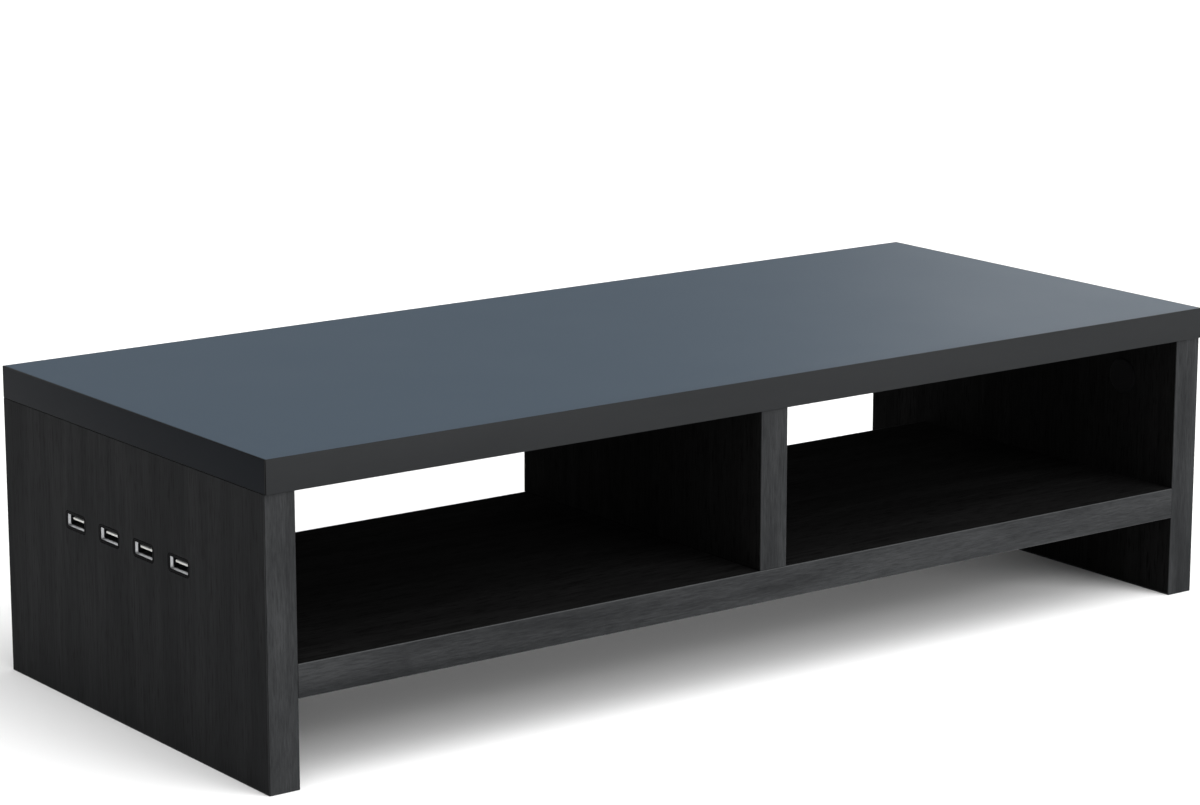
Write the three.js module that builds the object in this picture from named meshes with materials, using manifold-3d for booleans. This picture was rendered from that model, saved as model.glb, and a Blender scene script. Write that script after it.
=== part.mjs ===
// A two-tier monitor riser: five melamine-faced boards with edge bands, the flat-pack fittings
// that hold them together, and a four-port data hub behind the left side panel.
// Millimetres, +Z up, front towards -Y. The origin is on the desk, under the middle of the top panel.

import * as THREE from "three";
import { mergeVertices } from "three/addons/utils/BufferGeometryUtils.js";
import Module from "manifold-3d";

// ---------------------------------------------------------------- driving dimensions
const WIDTH = 540;
const DEPTH = 230;
const HEIGHT = 145;
const BOARD = 15; // thickness of every board
const BAND = 0.8; // thickness of the plastic edge band
const SETBACK = 1.5; // how far the sides, shelf and divider stand back from the top's front edge
const SHELF_UNDERSIDE = 40;
const SHELF_DEPTH = 186.5; // the shelf and divider stop short of the back, which leaves a cable gap
const FIT = 0.3; // clearance between a fitting and its bore
const PAST = 1; // how far a cutter reaches past the face that it opens

const TOP_UNDERSIDE = HEIGHT - BOARD;
const SHELF_TOP = SHELF_UNDERSIDE + BOARD;
const SHELF_MIDDLE = SHELF_UNDERSIDE + BOARD / 2;
const OUTER_X = WIDTH / 2;
const INNER_X = OUTER_X - BOARD;
const SIDE_X = OUTER_X - BOARD / 2;
const FRONT_Y = -DEPTH / 2;
const BACK_Y = DEPTH / 2;
const CARCASS_FRONT_Y = FRONT_Y + SETBACK;
const SHELF_BACK_Y = CARCASS_FRONT_Y + SHELF_DEPTH;

// Cam-and-bolt joints: the bolt screws into one board's face, its ball sits in a cam in the other board.
const ROW_INSET = 37; // from a board's front or back edge to the nearest fitting
const CAM_INSET = 24; // from a board's end to the cam's axis
const CAM_RADIUS = 7.5;
const CAM_RECESS = 1.3; // the cam's face lies this far below the board's face
const CAM_DEPTH = 12.3;
const CAM_SLOT = 1.6;
const CAM_SLOT_DEPTH = 2;
const BALL_ROOM = 3.7;
const NECK_ROOM = 2.6;
const BOLT_THREAD_RADIUS = 3.4;
const BOLT_CORE_RADIUS = 2.5;
const BOLT_THREAD_LENGTH = 10.5;
const BOLT_THREAD_PITCH = 1.9;
const BOLT_COLLAR_RADIUS = 3.9;
const BOLT_SHANK_RADIUS = 3.3;
const BOLT_NECK_RADIUS = 2.1;
const BOLT_BALL_RADIUS = 3.2;
const BOLT_COLLAR = 1.4; // thickness of the collar that stops the bolt at the board's face
const CAP_RADIUS = 8.8;
const CAP_PROUD = 0.9;

const DOWEL_RADIUS = 4;
const DOWEL_IN_FACE = 10;
const DOWEL_IN_EDGE = 19;

const SCREW_LENGTH = 48;
const SCREW_HEAD_RADIUS = 5;
const SCREW_HEAD_DEPTH = 3;
const SCREW_SHANK_RADIUS = 3.2;
const SCREW_CORE_RADIUS = 2.3;
const SCREW_THREAD_PITCH = 3;
const SCREW_SOCKET_RADIUS = 2.1;
const SCREW_SOCKET_DEPTH = 2.6;
const SCREW_SUNK = 0.2; // the head's face lies this far above the shelf's underside

// The hub: four rectangular sockets in a row through the left side panel, a circuit board and a cover.
const PORT_COUNT = 4;
const PORT_PITCH = 30.4;
const PORT_ROW_Y = 3.6; // middle of the row
const PORT_Z = 84.5;
const PORT_HALF = [8.1, 3.1]; // outside half width and half height of a socket's flared mouth
const PORT_FLARE = [0.9, 0.65]; // how far the mouth's lips lean outward, in width and in height
const PORT_FLARE_DEPTH = 1.5;
const PORT_CORNER = 1.0;
const PORT_WALL = 0.3;
const PORT_ROOM = 0.15; // clearance round the shell in its nozzle
const NOZZLE_WALL = 0.7; // the base plate's nozzle, which runs through the side panel round the shell
const NOZZLE_LIP = 0.3; // the nozzle's lip, which hides the shell's cut edge
const NOZZLE_GAP = 0.25; // clearance round the nozzle in the panel's window
const TONGUE_HALF_WIDTH = 5.8;
const TONGUE_THICKNESS = 1.6;
const TONGUE_RECESS = 1.9;
const TONGUE_BLOCK = 2.6; // length of the block that holds the tongue at the circuit board
const HUB_MIDDLE_Y = 5;
const HUB_HALF_LENGTH = 65;
const HUB_HALF_HEIGHT = 11;
const HUB_THICKNESS = 13;
const HUB_WALL = 1.6;
const HUB_EAR = 8; // how far an ear stands out past the cover's end
const HUB_EAR_HALF_HEIGHT = 5;
const HUB_EAR_THICKNESS = 2;
const HUB_EAR_OVERLAP = 0.5; // how far an ear runs into the cover
const HUB_SCREW_RADIUS = 1.4;
const HUB_SCREW_LENGTH = 9;
const HUB_SCREW_HEAD_RADIUS = 2.9;
const HUB_SCREW_SLOT = 0.7;
const HUB_POST_RADIUS = 2;
const HUB_POST_INSET = 5;
const HUB_POST_OFFSET = 6;
const HUB_BOARD_STANDOFF = 5.1;
const HUB_BOARD = 1.6;
const INLET_HALF = [4.5, 1.6];
const INLET_WALL = 0.35;
const INLET_LENGTH = 9.6;
const INLET_BACK = [0.2, 1.6]; // where the blind end starts and stops, from the tube's inner end
const BLADE_HALF = [3.3, 0.35];
const BLADE_RECESS = 2;

const FRONT_AND_BACK = [["front", -1], ["back", 1]];
const LEFT_AND_RIGHT = [["left", -1], ["right", 1]];

// ---------------------------------------------------------------- materials
function finish(color, roughness, metalness = 0) {
  return new THREE.MeshStandardMaterial({ color, roughness, metalness, flatShading: true });
}
const slateLaminate = finish(0x55626d, 0.45);
const blackLaminate = finish(0x2b2c2d, 0.5);
const blackBand = finish(0x3a3b3c, 0.45);
const zinc = finish(0xb4b7ba, 0.4, 1);
const beech = finish(0xc9a574, 0.7);
const blackPlastic = finish(0x1b1b1c, 0.55);
const socketSteel = finish(0xcfd1d4, 0.25, 1);
const tongueWhite = finish(0xe8e8e4, 0.5);
const circuitGreen = finish(0x1f5a3a, 0.5);

// ---------------------------------------------------------------- solids
const wasm = await Module();
wasm.setup();

// Turns a closed geometry into a solid that can be joined and cut.
function solidOf(geometry) {
  const bare = geometry.clone();
  bare.deleteAttribute("normal");
  bare.deleteAttribute("uv");
  const merged = mergeVertices(bare, 1e-4);
  return new wasm.Manifold(
    new wasm.Mesh({
      numProp: 3,
      vertProperties: merged.attributes.position.array,
      triVerts: new Uint32Array(merged.index.array),
    }),
  );
}

// Turns a solid back into a geometry.
function geometryOf(solid) {
  const mesh = solid.getMesh();
  return new THREE.BufferGeometry()
    .setAttribute("position", new THREE.BufferAttribute(mesh.vertProperties, 3))
    .setIndex(new THREE.BufferAttribute(mesh.triVerts, 1));
}

function carve(geometry, cutters) {
  return geometryOf(cutters.reduce((left, cutter) => left.subtract(solidOf(cutter)), solidOf(geometry)));
}

function join(geometries) {
  return geometryOf(geometries.map(solidOf).reduce((whole, next) => whole.add(next)));
}

// A box between two opposite corners.
function block(low, high) {
  const size = high.map((value, i) => value - low[i]);
  const middle = high.map((value, i) => (value + low[i]) / 2);
  return new THREE.BoxGeometry(...size).translate(...middle);
}

// A rod that starts at a point and runs along an axis, backwards where its length is negative.
function rod(axis, start, radius, length, segments = 24) {
  const geometry = new THREE.CylinderGeometry(radius, radius, Math.abs(length), segments);
  if (axis === "x") geometry.rotateZ(-Math.PI / 2);
  if (axis === "z") geometry.rotateX(Math.PI / 2);
  const offset = { x: [length / 2, 0, 0], y: [0, length / 2, 0], z: [0, 0, length / 2] }[axis];
  return geometry.translate(...start.map((value, i) => value + offset[i]));
}

// A turned piece on the Z axis. The profile is [radius, height] pairs that run upward from axis to axis.
function turned(profile, segments = 14) {
  const points = profile.map(([radius, height]) => new THREE.Vector2(radius, height));
  return new THREE.LatheGeometry(points, segments).rotateX(Math.PI / 2);
}

// Turns a piece made along +Z to point along an axis: x and y may be +1 or -1, z stays up.
function aim(geometry, [x, y]) {
  if (x) geometry.rotateY((x * Math.PI) / 2);
  if (y) geometry.rotateX((-y * Math.PI) / 2);
  return geometry;
}

// Thread ridges between two heights, as profile points that go up and down once for each pitch.
function ridges(from, to, pitch, core, crest) {
  const turns = Math.round((to - from) / pitch);
  const step = (to - from) / turns;
  return Array.from({ length: turns }, (_, i) => [
    [core, from + step * (i + 0.2)],
    [crest, from + step * (i + 0.6)],
  ]).flat();
}

const root = new THREE.Group();
root.name = "monitor_riser_stand";

function place(group, name, geometry, material) {
  const mesh = new THREE.Mesh(geometry, material);
  mesh.name = name;
  group.add(mesh);
}

function subassembly(name) {
  const group = new THREE.Group();
  group.name = name;
  root.add(group);
  return group;
}

// ---------------------------------------------------------------- where the fittings go
const sideRows = [CARCASS_FRONT_Y + ROW_INSET, BACK_Y - ROW_INSET];
const shelfRows = [CARCASS_FRONT_Y + ROW_INSET, SHELF_BACK_Y - ROW_INSET];
const camZ = TOP_UNDERSIDE - CAM_INSET;
const camX = INNER_X - CAM_INSET;
const portRow = Array.from(
  { length: PORT_COUNT },
  (_, i) => PORT_ROW_Y + (i - (PORT_COUNT - 1) / 2) * PORT_PITCH,
);
const hubSpan = [HUB_MIDDLE_Y - HUB_HALF_LENGTH, HUB_MIDDLE_Y + HUB_HALF_LENGTH];
const plateSpan = [hubSpan[0] + HUB_WALL + FIT, hubSpan[1] - HUB_WALL - FIT];
const plateHalf = HUB_HALF_HEIGHT - HUB_WALL - FIT;
const earMiddles = [hubSpan[0] - HUB_EAR / 2, hubSpan[1] + HUB_EAR / 2];

const boltFaceBore = BOLT_THREAD_RADIUS + FIT;
const boltEdgeBore = BOLT_COLLAR_RADIUS + FIT;
const boltFaceDepth = BOLT_THREAD_LENGTH + 0.5;
const boltEdgeDepth = CAM_INSET + BOLT_BALL_RADIUS + 1;
const dowelBore = DOWEL_RADIUS + FIT;
const dowelFaceDepth = DOWEL_IN_FACE + FIT;
const dowelEdgeDepth = DOWEL_IN_EDGE + FIT;
const camBore = CAM_RADIUS + FIT;
const camBoreDepth = CAM_DEPTH + FIT;
const screwBore = SCREW_SHANK_RADIUS + FIT;
const screwBoreDepth = SCREW_LENGTH - BOARD + 1;
const tubeHalf = PORT_HALF.map((half, i) => half - PORT_FLARE[i]);
const nozzleGrow = PORT_ROOM + NOZZLE_WALL;
const windowGrow = nozzleGrow + NOZZLE_GAP;
const hubPilotRadius = HUB_SCREW_RADIUS + FIT;
const hubPilotDepth = HUB_SCREW_LENGTH + 1;

// ---------------------------------------------------------------- boards and edge bands
// A bore whose mouth is in the face at start: it runs along the axis for depth, signed, into the board.
function bore(axis, start, radius, depth, segments = 24) {
  const way = Math.sign(depth);
  const mouth = [...start];
  mouth["xyz".indexOf(axis)] -= way * PAST;
  return rod(axis, mouth, radius, depth + way * PAST, segments);
}

// The front and back bands run the board's full length, and end bands fit between them.
function makeTop() {
  const group = subassembly("top");
  const low = [-OUTER_X + BAND, FRONT_Y + BAND, TOP_UNDERSIDE];
  const high = [OUTER_X - BAND, BACK_Y - BAND, HEIGHT];
  const bores = [];
  for (const side of [-1, 1]) {
    for (const y of sideRows) {
      bores.push(bore("z", [side * SIDE_X, y, TOP_UNDERSIDE], boltFaceBore, boltFaceDepth));
    }
    bores.push(bore("z", [side * SIDE_X, 0, TOP_UNDERSIDE], dowelBore, dowelFaceDepth));
  }
  for (const y of shelfRows) {
    bores.push(bore("z", [0, y, TOP_UNDERSIDE], dowelBore, dowelFaceDepth));
  }
  place(group, "top_panel", carve(block(low, high), bores), slateLaminate);
  place(group, "top_front_band", block([-OUTER_X, FRONT_Y, low[2]], [OUTER_X, low[1], HEIGHT]), blackBand);
  place(group, "top_back_band", block([-OUTER_X, high[1], low[2]], [OUTER_X, BACK_Y, HEIGHT]), blackBand);
  place(group, "top_left_band", block([-OUTER_X, low[1], low[2]], [low[0], high[1], HEIGHT]), blackBand);
  place(group, "top_right_band", block([high[0], low[1], low[2]], [OUTER_X, high[1], HEIGHT]), blackBand);
}

function makeSide(name, side) {
  const group = subassembly(name);
  const span = side < 0 ? [-OUTER_X, -INNER_X] : [INNER_X, OUTER_X];
  const coreFront = CARCASS_FRONT_Y + BAND;
  const coreBack = BACK_Y - BAND;
  const bores = [];
  for (const y of sideRows) {
    bores.push(bore("z", [side * SIDE_X, y, TOP_UNDERSIDE], boltEdgeBore, -boltEdgeDepth));
    bores.push(bore("x", [side * INNER_X, y, camZ], camBore, side * camBoreDepth));
  }
  bores.push(bore("z", [side * SIDE_X, 0, TOP_UNDERSIDE], dowelBore, -dowelEdgeDepth));
  for (const y of shelfRows) {
    bores.push(bore("x", [side * INNER_X, y, SHELF_MIDDLE], boltFaceBore, side * boltFaceDepth));
  }
  if (side < 0) {
    bores.push(...portRow.map((y) => portPrism(y, -OUTER_X - PAST, -INNER_X + PAST, windowGrow)));
    for (const y of earMiddles) {
      bores.push(bore("x", [-INNER_X, y, PORT_Z], hubPilotRadius, -hubPilotDepth, 12));
    }
  }
  const core = block([span[0], coreFront, BAND], [span[1], coreBack, TOP_UNDERSIDE]);
  place(group, name + "_panel", carve(core, bores), blackLaminate);
  const front = block([span[0], CARCASS_FRONT_Y, 0], [span[1], coreFront, TOP_UNDERSIDE]);
  const back = block([span[0], coreBack, 0], [span[1], BACK_Y, TOP_UNDERSIDE]);
  const bottom = block([span[0], coreFront, 0], [span[1], coreBack, BAND]);
  place(group, name + "_front_band", front, blackBand);
  place(group, name + "_back_band", back, blackBand);
  place(group, name + "_bottom_band", bottom, blackBand);
}

// A board behind the carcass's front line, as deep as the shelf: its core, and a band in front and behind.
function makeShelfDeepBoard(name, [lowX, highX], [lowZ, highZ], bores) {
  const group = subassembly(name);
  const coreFront = CARCASS_FRONT_Y + BAND;
  const coreBack = SHELF_BACK_Y - BAND;
  const core = block([lowX, coreFront, lowZ], [highX, coreBack, highZ]);
  const front = block([lowX, CARCASS_FRONT_Y, lowZ], [highX, coreFront, highZ]);
  const back = block([lowX, coreBack, lowZ], [highX, SHELF_BACK_Y, highZ]);
  place(group, name + "_panel", carve(core, bores), blackLaminate);
  place(group, name + "_front_band", front, blackBand);
  place(group, name + "_back_band", back, blackBand);
}

function makeShelf() {
  const bores = [];
  for (const y of shelfRows) {
    for (const side of [-1, 1]) {
      bores.push(bore("x", [side * INNER_X, y, SHELF_MIDDLE], boltEdgeBore, -side * boltEdgeDepth));
      bores.push(bore("z", [side * camX, y, SHELF_UNDERSIDE], camBore, camBoreDepth));
    }
    bores.push(bore("z", [0, y, SHELF_UNDERSIDE], screwBore, BOARD + PAST));
    bores.push(bore("z", [0, y, SHELF_UNDERSIDE], SCREW_HEAD_RADIUS + FIT, SCREW_HEAD_DEPTH + FIT));
  }
  makeShelfDeepBoard("shelf", [-INNER_X, INNER_X], [SHELF_UNDERSIDE, SHELF_TOP], bores);
}

function makeDivider() {
  const bores = shelfRows.flatMap((y) => [
    bore("z", [0, y, TOP_UNDERSIDE], dowelBore, -dowelEdgeDepth),
    bore("z", [0, y, SHELF_TOP], screwBore, screwBoreDepth),
  ]);
  makeShelfDeepBoard("divider", [-BOARD / 2, BOARD / 2], [SHELF_TOP, TOP_UNDERSIDE], bores);
}

// ---------------------------------------------------------------- flat-pack fittings
// The bolt along +Z: its thread points up from the face it screws into, its ball hangs below.
function camBolt() {
  const shankEnd = -CAM_INSET + CAM_RADIUS + 1;
  const ballTop = -CAM_INSET + BOLT_BALL_RADIUS;
  const threadEnd = BOLT_THREAD_LENGTH - 1;
  return turned([
    [0, -CAM_INSET - BOLT_BALL_RADIUS],
    [BOLT_BALL_RADIUS * 0.6, -CAM_INSET - BOLT_BALL_RADIUS * 0.8],
    [BOLT_BALL_RADIUS, -CAM_INSET],
    [BOLT_NECK_RADIUS, ballTop],
    [BOLT_NECK_RADIUS, shankEnd],
    [BOLT_SHANK_RADIUS, shankEnd + 0.8],
    [BOLT_SHANK_RADIUS, -BOLT_COLLAR],
    [BOLT_COLLAR_RADIUS, -BOLT_COLLAR],
    [BOLT_COLLAR_RADIUS, -FIT],
    ...ridges(0, threadEnd, BOLT_THREAD_PITCH, BOLT_CORE_RADIUS, BOLT_THREAD_RADIUS),
    [BOLT_CORE_RADIUS * 0.6, BOLT_THREAD_LENGTH],
    [0, BOLT_THREAD_LENGTH],
  ]);
}

// The cam on the Z axis, face up at height 0, with its mouth towards +X, where the bolt comes in.
function cam() {
  const length = CAM_DEPTH - CAM_RECESS;
  const boltDepth = -(BOARD / 2 - CAM_RECESS);
  const body = rod("z", [0, 0, -length], CAM_RADIUS, length);
  const arm = CAM_RADIUS * 0.6;
  return carve(body, [
    block([-BALL_ROOM, -BALL_ROOM, boltDepth - BALL_ROOM], [BALL_ROOM, BALL_ROOM, boltDepth + BALL_ROOM]),
    block([0, -NECK_ROOM, boltDepth - NECK_ROOM], [CAM_RADIUS + PAST, NECK_ROOM, boltDepth + NECK_ROOM]),
    block([-arm, -CAM_SLOT / 2, -CAM_SLOT_DEPTH], [arm, CAM_SLOT / 2, PAST]),
    block([-CAM_SLOT / 2, -arm, -CAM_SLOT_DEPTH], [CAM_SLOT / 2, arm, PAST]),
  ]);
}

// The cap on the Z axis: its flange lies on the board's face, its plug goes down into the bore.
function camCap() {
  const plug = CAM_RECESS - FIT;
  return turned(
    [
      [0, -plug],
      [CAM_RADIUS - FIT, -plug],
      [CAM_RADIUS - FIT, 0],
      [CAP_RADIUS, 0],
      [CAP_RADIUS, CAP_PROUD * 0.4],
      [CAP_RADIUS - 0.7, CAP_PROUD],
      [0, CAP_PROUD],
    ],
    24,
  );
}

function makeTopFittings(name, side) {
  const group = subassembly("top_fittings_" + name);
  FRONT_AND_BACK.forEach(([row], i) => {
    const y = sideRows[i];
    const label = name + "_" + row;
    const bolt = camBolt().translate(side * SIDE_X, y, TOP_UNDERSIDE);
    const lock = aim(cam().rotateZ(side < 0 ? Math.PI : 0), [-side, 0]);
    lock.translate(side * (INNER_X + CAM_RECESS), y, camZ);
    const cap = aim(camCap(), [-side, 0]).translate(side * INNER_X, y, camZ);
    place(group, "top_cam_bolt_" + label, bolt, zinc);
    place(group, "top_cam_" + label, lock, zinc);
    place(group, "top_cam_cap_" + label, cap, blackPlastic);
  });
  place(group, "dowel_top_" + name, dowel().translate(side * SIDE_X, 0, TOP_UNDERSIDE), beech);
}

function makeShelfFittings(name, side) {
  const group = subassembly("shelf_fittings_" + name);
  FRONT_AND_BACK.forEach(([row], i) => {
    const y = shelfRows[i];
    const label = name + "_" + row;
    const bolt = aim(camBolt(), [side, 0]).translate(side * INNER_X, y, SHELF_MIDDLE);
    const lock = cam().rotateZ(side < 0 ? Math.PI : 0).rotateX(Math.PI);
    lock.translate(side * camX, y, SHELF_UNDERSIDE + CAM_RECESS);
    place(group, "shelf_cam_bolt_" + label, bolt, zinc);
    place(group, "shelf_cam_" + label, lock, zinc);
  });
}

// A fluteless dowel across a joint at height 0, its short end up in the board above.
function dowel() {
  const bevel = 1;
  return turned([
    [0, -DOWEL_IN_EDGE],
    [DOWEL_RADIUS - bevel, -DOWEL_IN_EDGE],
    [DOWEL_RADIUS, -DOWEL_IN_EDGE + bevel],
    [DOWEL_RADIUS, DOWEL_IN_FACE - bevel],
    [DOWEL_RADIUS - bevel, DOWEL_IN_FACE],
    [0, DOWEL_IN_FACE],
  ]);
}

// The screw points up, with its countersunk head's face at height 0 and a hexagonal socket in it.
function boardScrew() {
  const threadStart = BOARD + SCREW_THREAD_PITCH;
  const threadEnd = SCREW_LENGTH - SCREW_THREAD_PITCH;
  const body = turned([
    [0, 0],
    [SCREW_HEAD_RADIUS, 0],
    [SCREW_HEAD_RADIUS, 0.6],
    [SCREW_SHANK_RADIUS, SCREW_HEAD_DEPTH],
    [SCREW_SHANK_RADIUS, threadStart],
    ...ridges(threadStart, threadEnd, SCREW_THREAD_PITCH, SCREW_CORE_RADIUS, SCREW_SHANK_RADIUS),
    [0, SCREW_LENGTH],
  ]);
  return carve(body, [bore("z", [0, 0, 0], SCREW_SOCKET_RADIUS, SCREW_SOCKET_DEPTH, 6)]);
}

function makeDividerFittings() {
  const group = subassembly("divider_fittings");
  FRONT_AND_BACK.forEach(([row], i) => {
    place(group, "dowel_divider_" + row, dowel().translate(0, shelfRows[i], TOP_UNDERSIDE), beech);
    const screw = boardScrew().translate(0, shelfRows[i], SHELF_UNDERSIDE + SCREW_SUNK);
    place(group, "divider_screw_" + row, screw, zinc);
  });
}

// ---------------------------------------------------------------- hub
// A rounded rectangle in the plane at x, as a ring of points that runs the same way every time.
function ring(x, halfWidth, halfHeight, corner, steps = 3) {
  const points = [];
  [[1, 1], [-1, 1], [-1, -1], [1, -1]].forEach(([sy, sz], quarter) => {
    for (let i = 0; i <= steps; i += 1) {
      const angle = ((quarter + i / steps) * Math.PI) / 2;
      const y = sy * (halfWidth - corner) + corner * Math.cos(angle);
      const z = sz * (halfHeight - corner) + corner * Math.sin(angle);
      points.push([x, y, z]);
    }
  });
  return points;
}

// A solid bar along X round a socket's axis, with the shell's outline grown by a distance.
function portPrism(y, fromX, toX, grow) {
  const [halfWidth, halfHeight] = PORT_HALF.map((half) => half + grow);
  const outline = ring(0, halfWidth, halfHeight, PORT_CORNER + grow).map(([, py, pz]) => [py, pz]);
  const shape = new THREE.Shape(outline.map((point) => new THREE.Vector2(...point)));
  const bar = new THREE.ExtrudeGeometry(shape, { depth: toX - fromX, bevelEnabled: false });
  bar.applyMatrix4(new THREE.Matrix4().makeBasis(
    new THREE.Vector3(0, 1, 0),
    new THREE.Vector3(0, 0, 1),
    new THREE.Vector3(1, 0, 0),
  ));
  return bar.translate(fromX, y, PORT_Z);
}

// A tube wall from rings that go out along the outside and come back along the inside, closed on itself.
function wallOfRings(rings) {
  const count = rings[0].length;
  const index = [];
  rings.forEach((_, r) => {
    const next = (r + 1) % rings.length;
    for (let i = 0; i < count; i += 1) {
      const j = (i + 1) % count;
      const [a, b, c, d] = [r * count + i, r * count + j, next * count + j, next * count + i];
      index.push(a, b, c, a, c, d);
    }
  });
  const geometry = new THREE.BufferGeometry();
  geometry.setAttribute("position", new THREE.Float32BufferAttribute(rings.flat(2), 3));
  return geometry.setIndex(index);
}

// A socket's pressed-steel shell: a rounded rectangular tube whose lips flare behind the nozzle's lip.
function portShell(y) {
  const mouthX = -OUTER_X + NOZZLE_LIP + PORT_ROOM;
  const rootX = -INNER_X + HUB_BOARD_STANDOFF - FIT;
  const outline = (x, [halfWidth, halfHeight], shrink) =>
    ring(x, halfWidth - shrink, halfHeight - shrink, PORT_CORNER - shrink);
  const outside = [
    outline(mouthX, PORT_HALF, 0),
    outline(mouthX + PORT_FLARE_DEPTH, tubeHalf, 0),
    outline(rootX, tubeHalf, 0),
  ];
  const inside = [
    outline(rootX, tubeHalf, PORT_WALL),
    outline(mouthX + PORT_FLARE_DEPTH, tubeHalf, PORT_WALL),
    outline(mouthX, PORT_HALF, PORT_WALL),
  ];
  return wallOfRings([...outside, ...inside]).translate(0, y, PORT_Z);
}

// The moulded tongue that carries the contacts, with the block that holds it at the circuit board.
function portTongue(y) {
  const rootX = -INNER_X + HUB_BOARD_STANDOFF - FIT;
  const [halfWidth, halfHeight] = tubeHalf.map((half) => half - PORT_WALL - FIT);
  const tongue = block(
    [-OUTER_X + TONGUE_RECESS, y - TONGUE_HALF_WIDTH, PORT_Z],
    [rootX - TONGUE_BLOCK / 2, y + TONGUE_HALF_WIDTH, PORT_Z + TONGUE_THICKNESS],
  );
  const holder = block(
    [rootX - TONGUE_BLOCK, y - halfWidth, PORT_Z - halfHeight],
    [rootX, y + halfWidth, PORT_Z + halfHeight],
  );
  return join([tongue, holder]);
}

// The cover is an open box with an ear at each end, lying against the side panel's inner face.
function hubCover(inletX) {
  const wallX = -INNER_X;
  const [halfLong, halfShort] = INLET_HALF;
  const [lowY, highY] = hubSpan;
  const [lowZ, highZ] = [PORT_Z - HUB_HALF_HEIGHT, PORT_Z + HUB_HALF_HEIGHT];
  const earHalf = HUB_EAR / 2 + HUB_EAR_OVERLAP;
  const shell = block([wallX, lowY, lowZ], [wallX + HUB_THICKNESS, highY, highZ]);
  const ears = earMiddles.map((y) =>
    block(
      [wallX, y - earHalf, PORT_Z - HUB_EAR_HALF_HEIGHT],
      [wallX + HUB_EAR_THICKNESS, y + earHalf, PORT_Z + HUB_EAR_HALF_HEIGHT],
    ),
  );
  const hollow = block(
    [wallX - PAST, lowY + HUB_WALL, lowZ + HUB_WALL],
    [wallX + HUB_THICKNESS - HUB_WALL, highY - HUB_WALL, highZ - HUB_WALL],
  );
  const inletHole = block(
    [inletX - halfShort - FIT, highY - HUB_WALL - PAST, PORT_Z - halfLong - FIT],
    [inletX + halfShort + FIT, highY + PAST, PORT_Z + halfLong + FIT],
  );
  const earHoles = earMiddles.map((y) =>
    bore("x", [wallX, y, PORT_Z], HUB_SCREW_RADIUS + FIT, HUB_EAR_THICKNESS + PAST, 12),
  );
  return carve(join([shell, ...ears]), [hollow, inletHole, ...earHoles]);
}

// The base plate lies on the panel inside the cover. Four posts carry the circuit board, and four
// nozzles run out through the panel's windows, each with a lip in front of its socket's shell.
function hubBasePlate() {
  const wallX = -INNER_X;
  const plate = block(
    [wallX, plateSpan[0], PORT_Z - plateHalf],
    [wallX + HUB_WALL, plateSpan[1], PORT_Z + plateHalf],
  );
  const posts = [plateSpan[0] + HUB_POST_INSET, plateSpan[1] - HUB_POST_INSET].flatMap((y) =>
    [-HUB_POST_OFFSET, HUB_POST_OFFSET].map((z) =>
      rod("x", [wallX + PAST, y, PORT_Z + z], HUB_POST_RADIUS, HUB_BOARD_STANDOFF - PAST - FIT, 12),
    ),
  );
  const plateTop = wallX + HUB_WALL;
  const nozzles = portRow.map((y) => portPrism(y, -OUTER_X, plateTop, nozzleGrow));
  const cavities = portRow.map((y) => portPrism(y, -OUTER_X + NOZZLE_LIP, plateTop + PAST, PORT_ROOM));
  const mouths = portRow.map((y) => portPrism(y, -OUTER_X - PAST, wallX, -PORT_WALL));
  return carve(join([plate, ...posts, ...nozzles]), [...cavities, ...mouths]);
}

function hubCircuitBoard(boardX) {
  return block(
    [boardX, plateSpan[0] + HUB_WALL, PORT_Z - plateHalf + 1],
    [boardX + HUB_BOARD, plateSpan[1] - HUB_WALL, PORT_Z + plateHalf - 1],
  );
}

// The inlet for the lead from the computer: an oval tube with a blind end and a blade in it.
function hubInletSocket() {
  const [halfLong, halfShort] = INLET_HALF;
  const oval = (x, long, short) => ring(x, long, short, short - 0.01, 5);
  const inletRing = (x, shrink) => oval(x, halfLong - shrink, halfShort - shrink);
  const tube = wallOfRings([
    inletRing(0, 0),
    inletRing(INLET_LENGTH, 0),
    inletRing(INLET_LENGTH, INLET_WALL),
    inletRing(0, INLET_WALL),
  ]);
  const endHalf = [halfLong - INLET_WALL * 2, halfShort - INLET_WALL / 3];
  const backWall = block(
    [INLET_LENGTH - INLET_BACK[1], -endHalf[0], -endHalf[1]],
    [INLET_LENGTH - INLET_BACK[0], endHalf[0], endHalf[1]],
  );
  const blade = block(
    [BLADE_RECESS, -BLADE_HALF[0], -BLADE_HALF[1]],
    [INLET_LENGTH - INLET_BACK[1] / 2, BLADE_HALF[0], BLADE_HALF[1]],
  );
  return join([tube, backWall, blade]).rotateX(Math.PI / 2).rotateZ(-Math.PI / 2);
}

// The screw along +X: its shank goes down into the panel, its crossed head lies on the cover's ear.
function hubScrew() {
  const seat = HUB_EAR_THICKNESS + 0.2;
  const slotFloor = seat + 0.9;
  const arm = HUB_SCREW_HEAD_RADIUS * 0.6;
  const half = HUB_SCREW_SLOT / 2;
  const body = turned([
    [0, -HUB_SCREW_LENGTH],
    [HUB_SCREW_RADIUS, -HUB_SCREW_LENGTH + 1],
    [HUB_SCREW_RADIUS, seat],
    [HUB_SCREW_HEAD_RADIUS, seat],
    [HUB_SCREW_HEAD_RADIUS, seat + 1],
    [HUB_SCREW_HEAD_RADIUS - 0.7, seat + 1.8],
    [0, seat + 2],
  ]);
  const slots = [
    block([-arm, -half, slotFloor], [arm, half, slotFloor + 2]),
    block([-half, -arm, slotFloor], [half, arm, slotFloor + 2]),
  ];
  return aim(carve(body, slots), [1, 0]);
}

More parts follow.
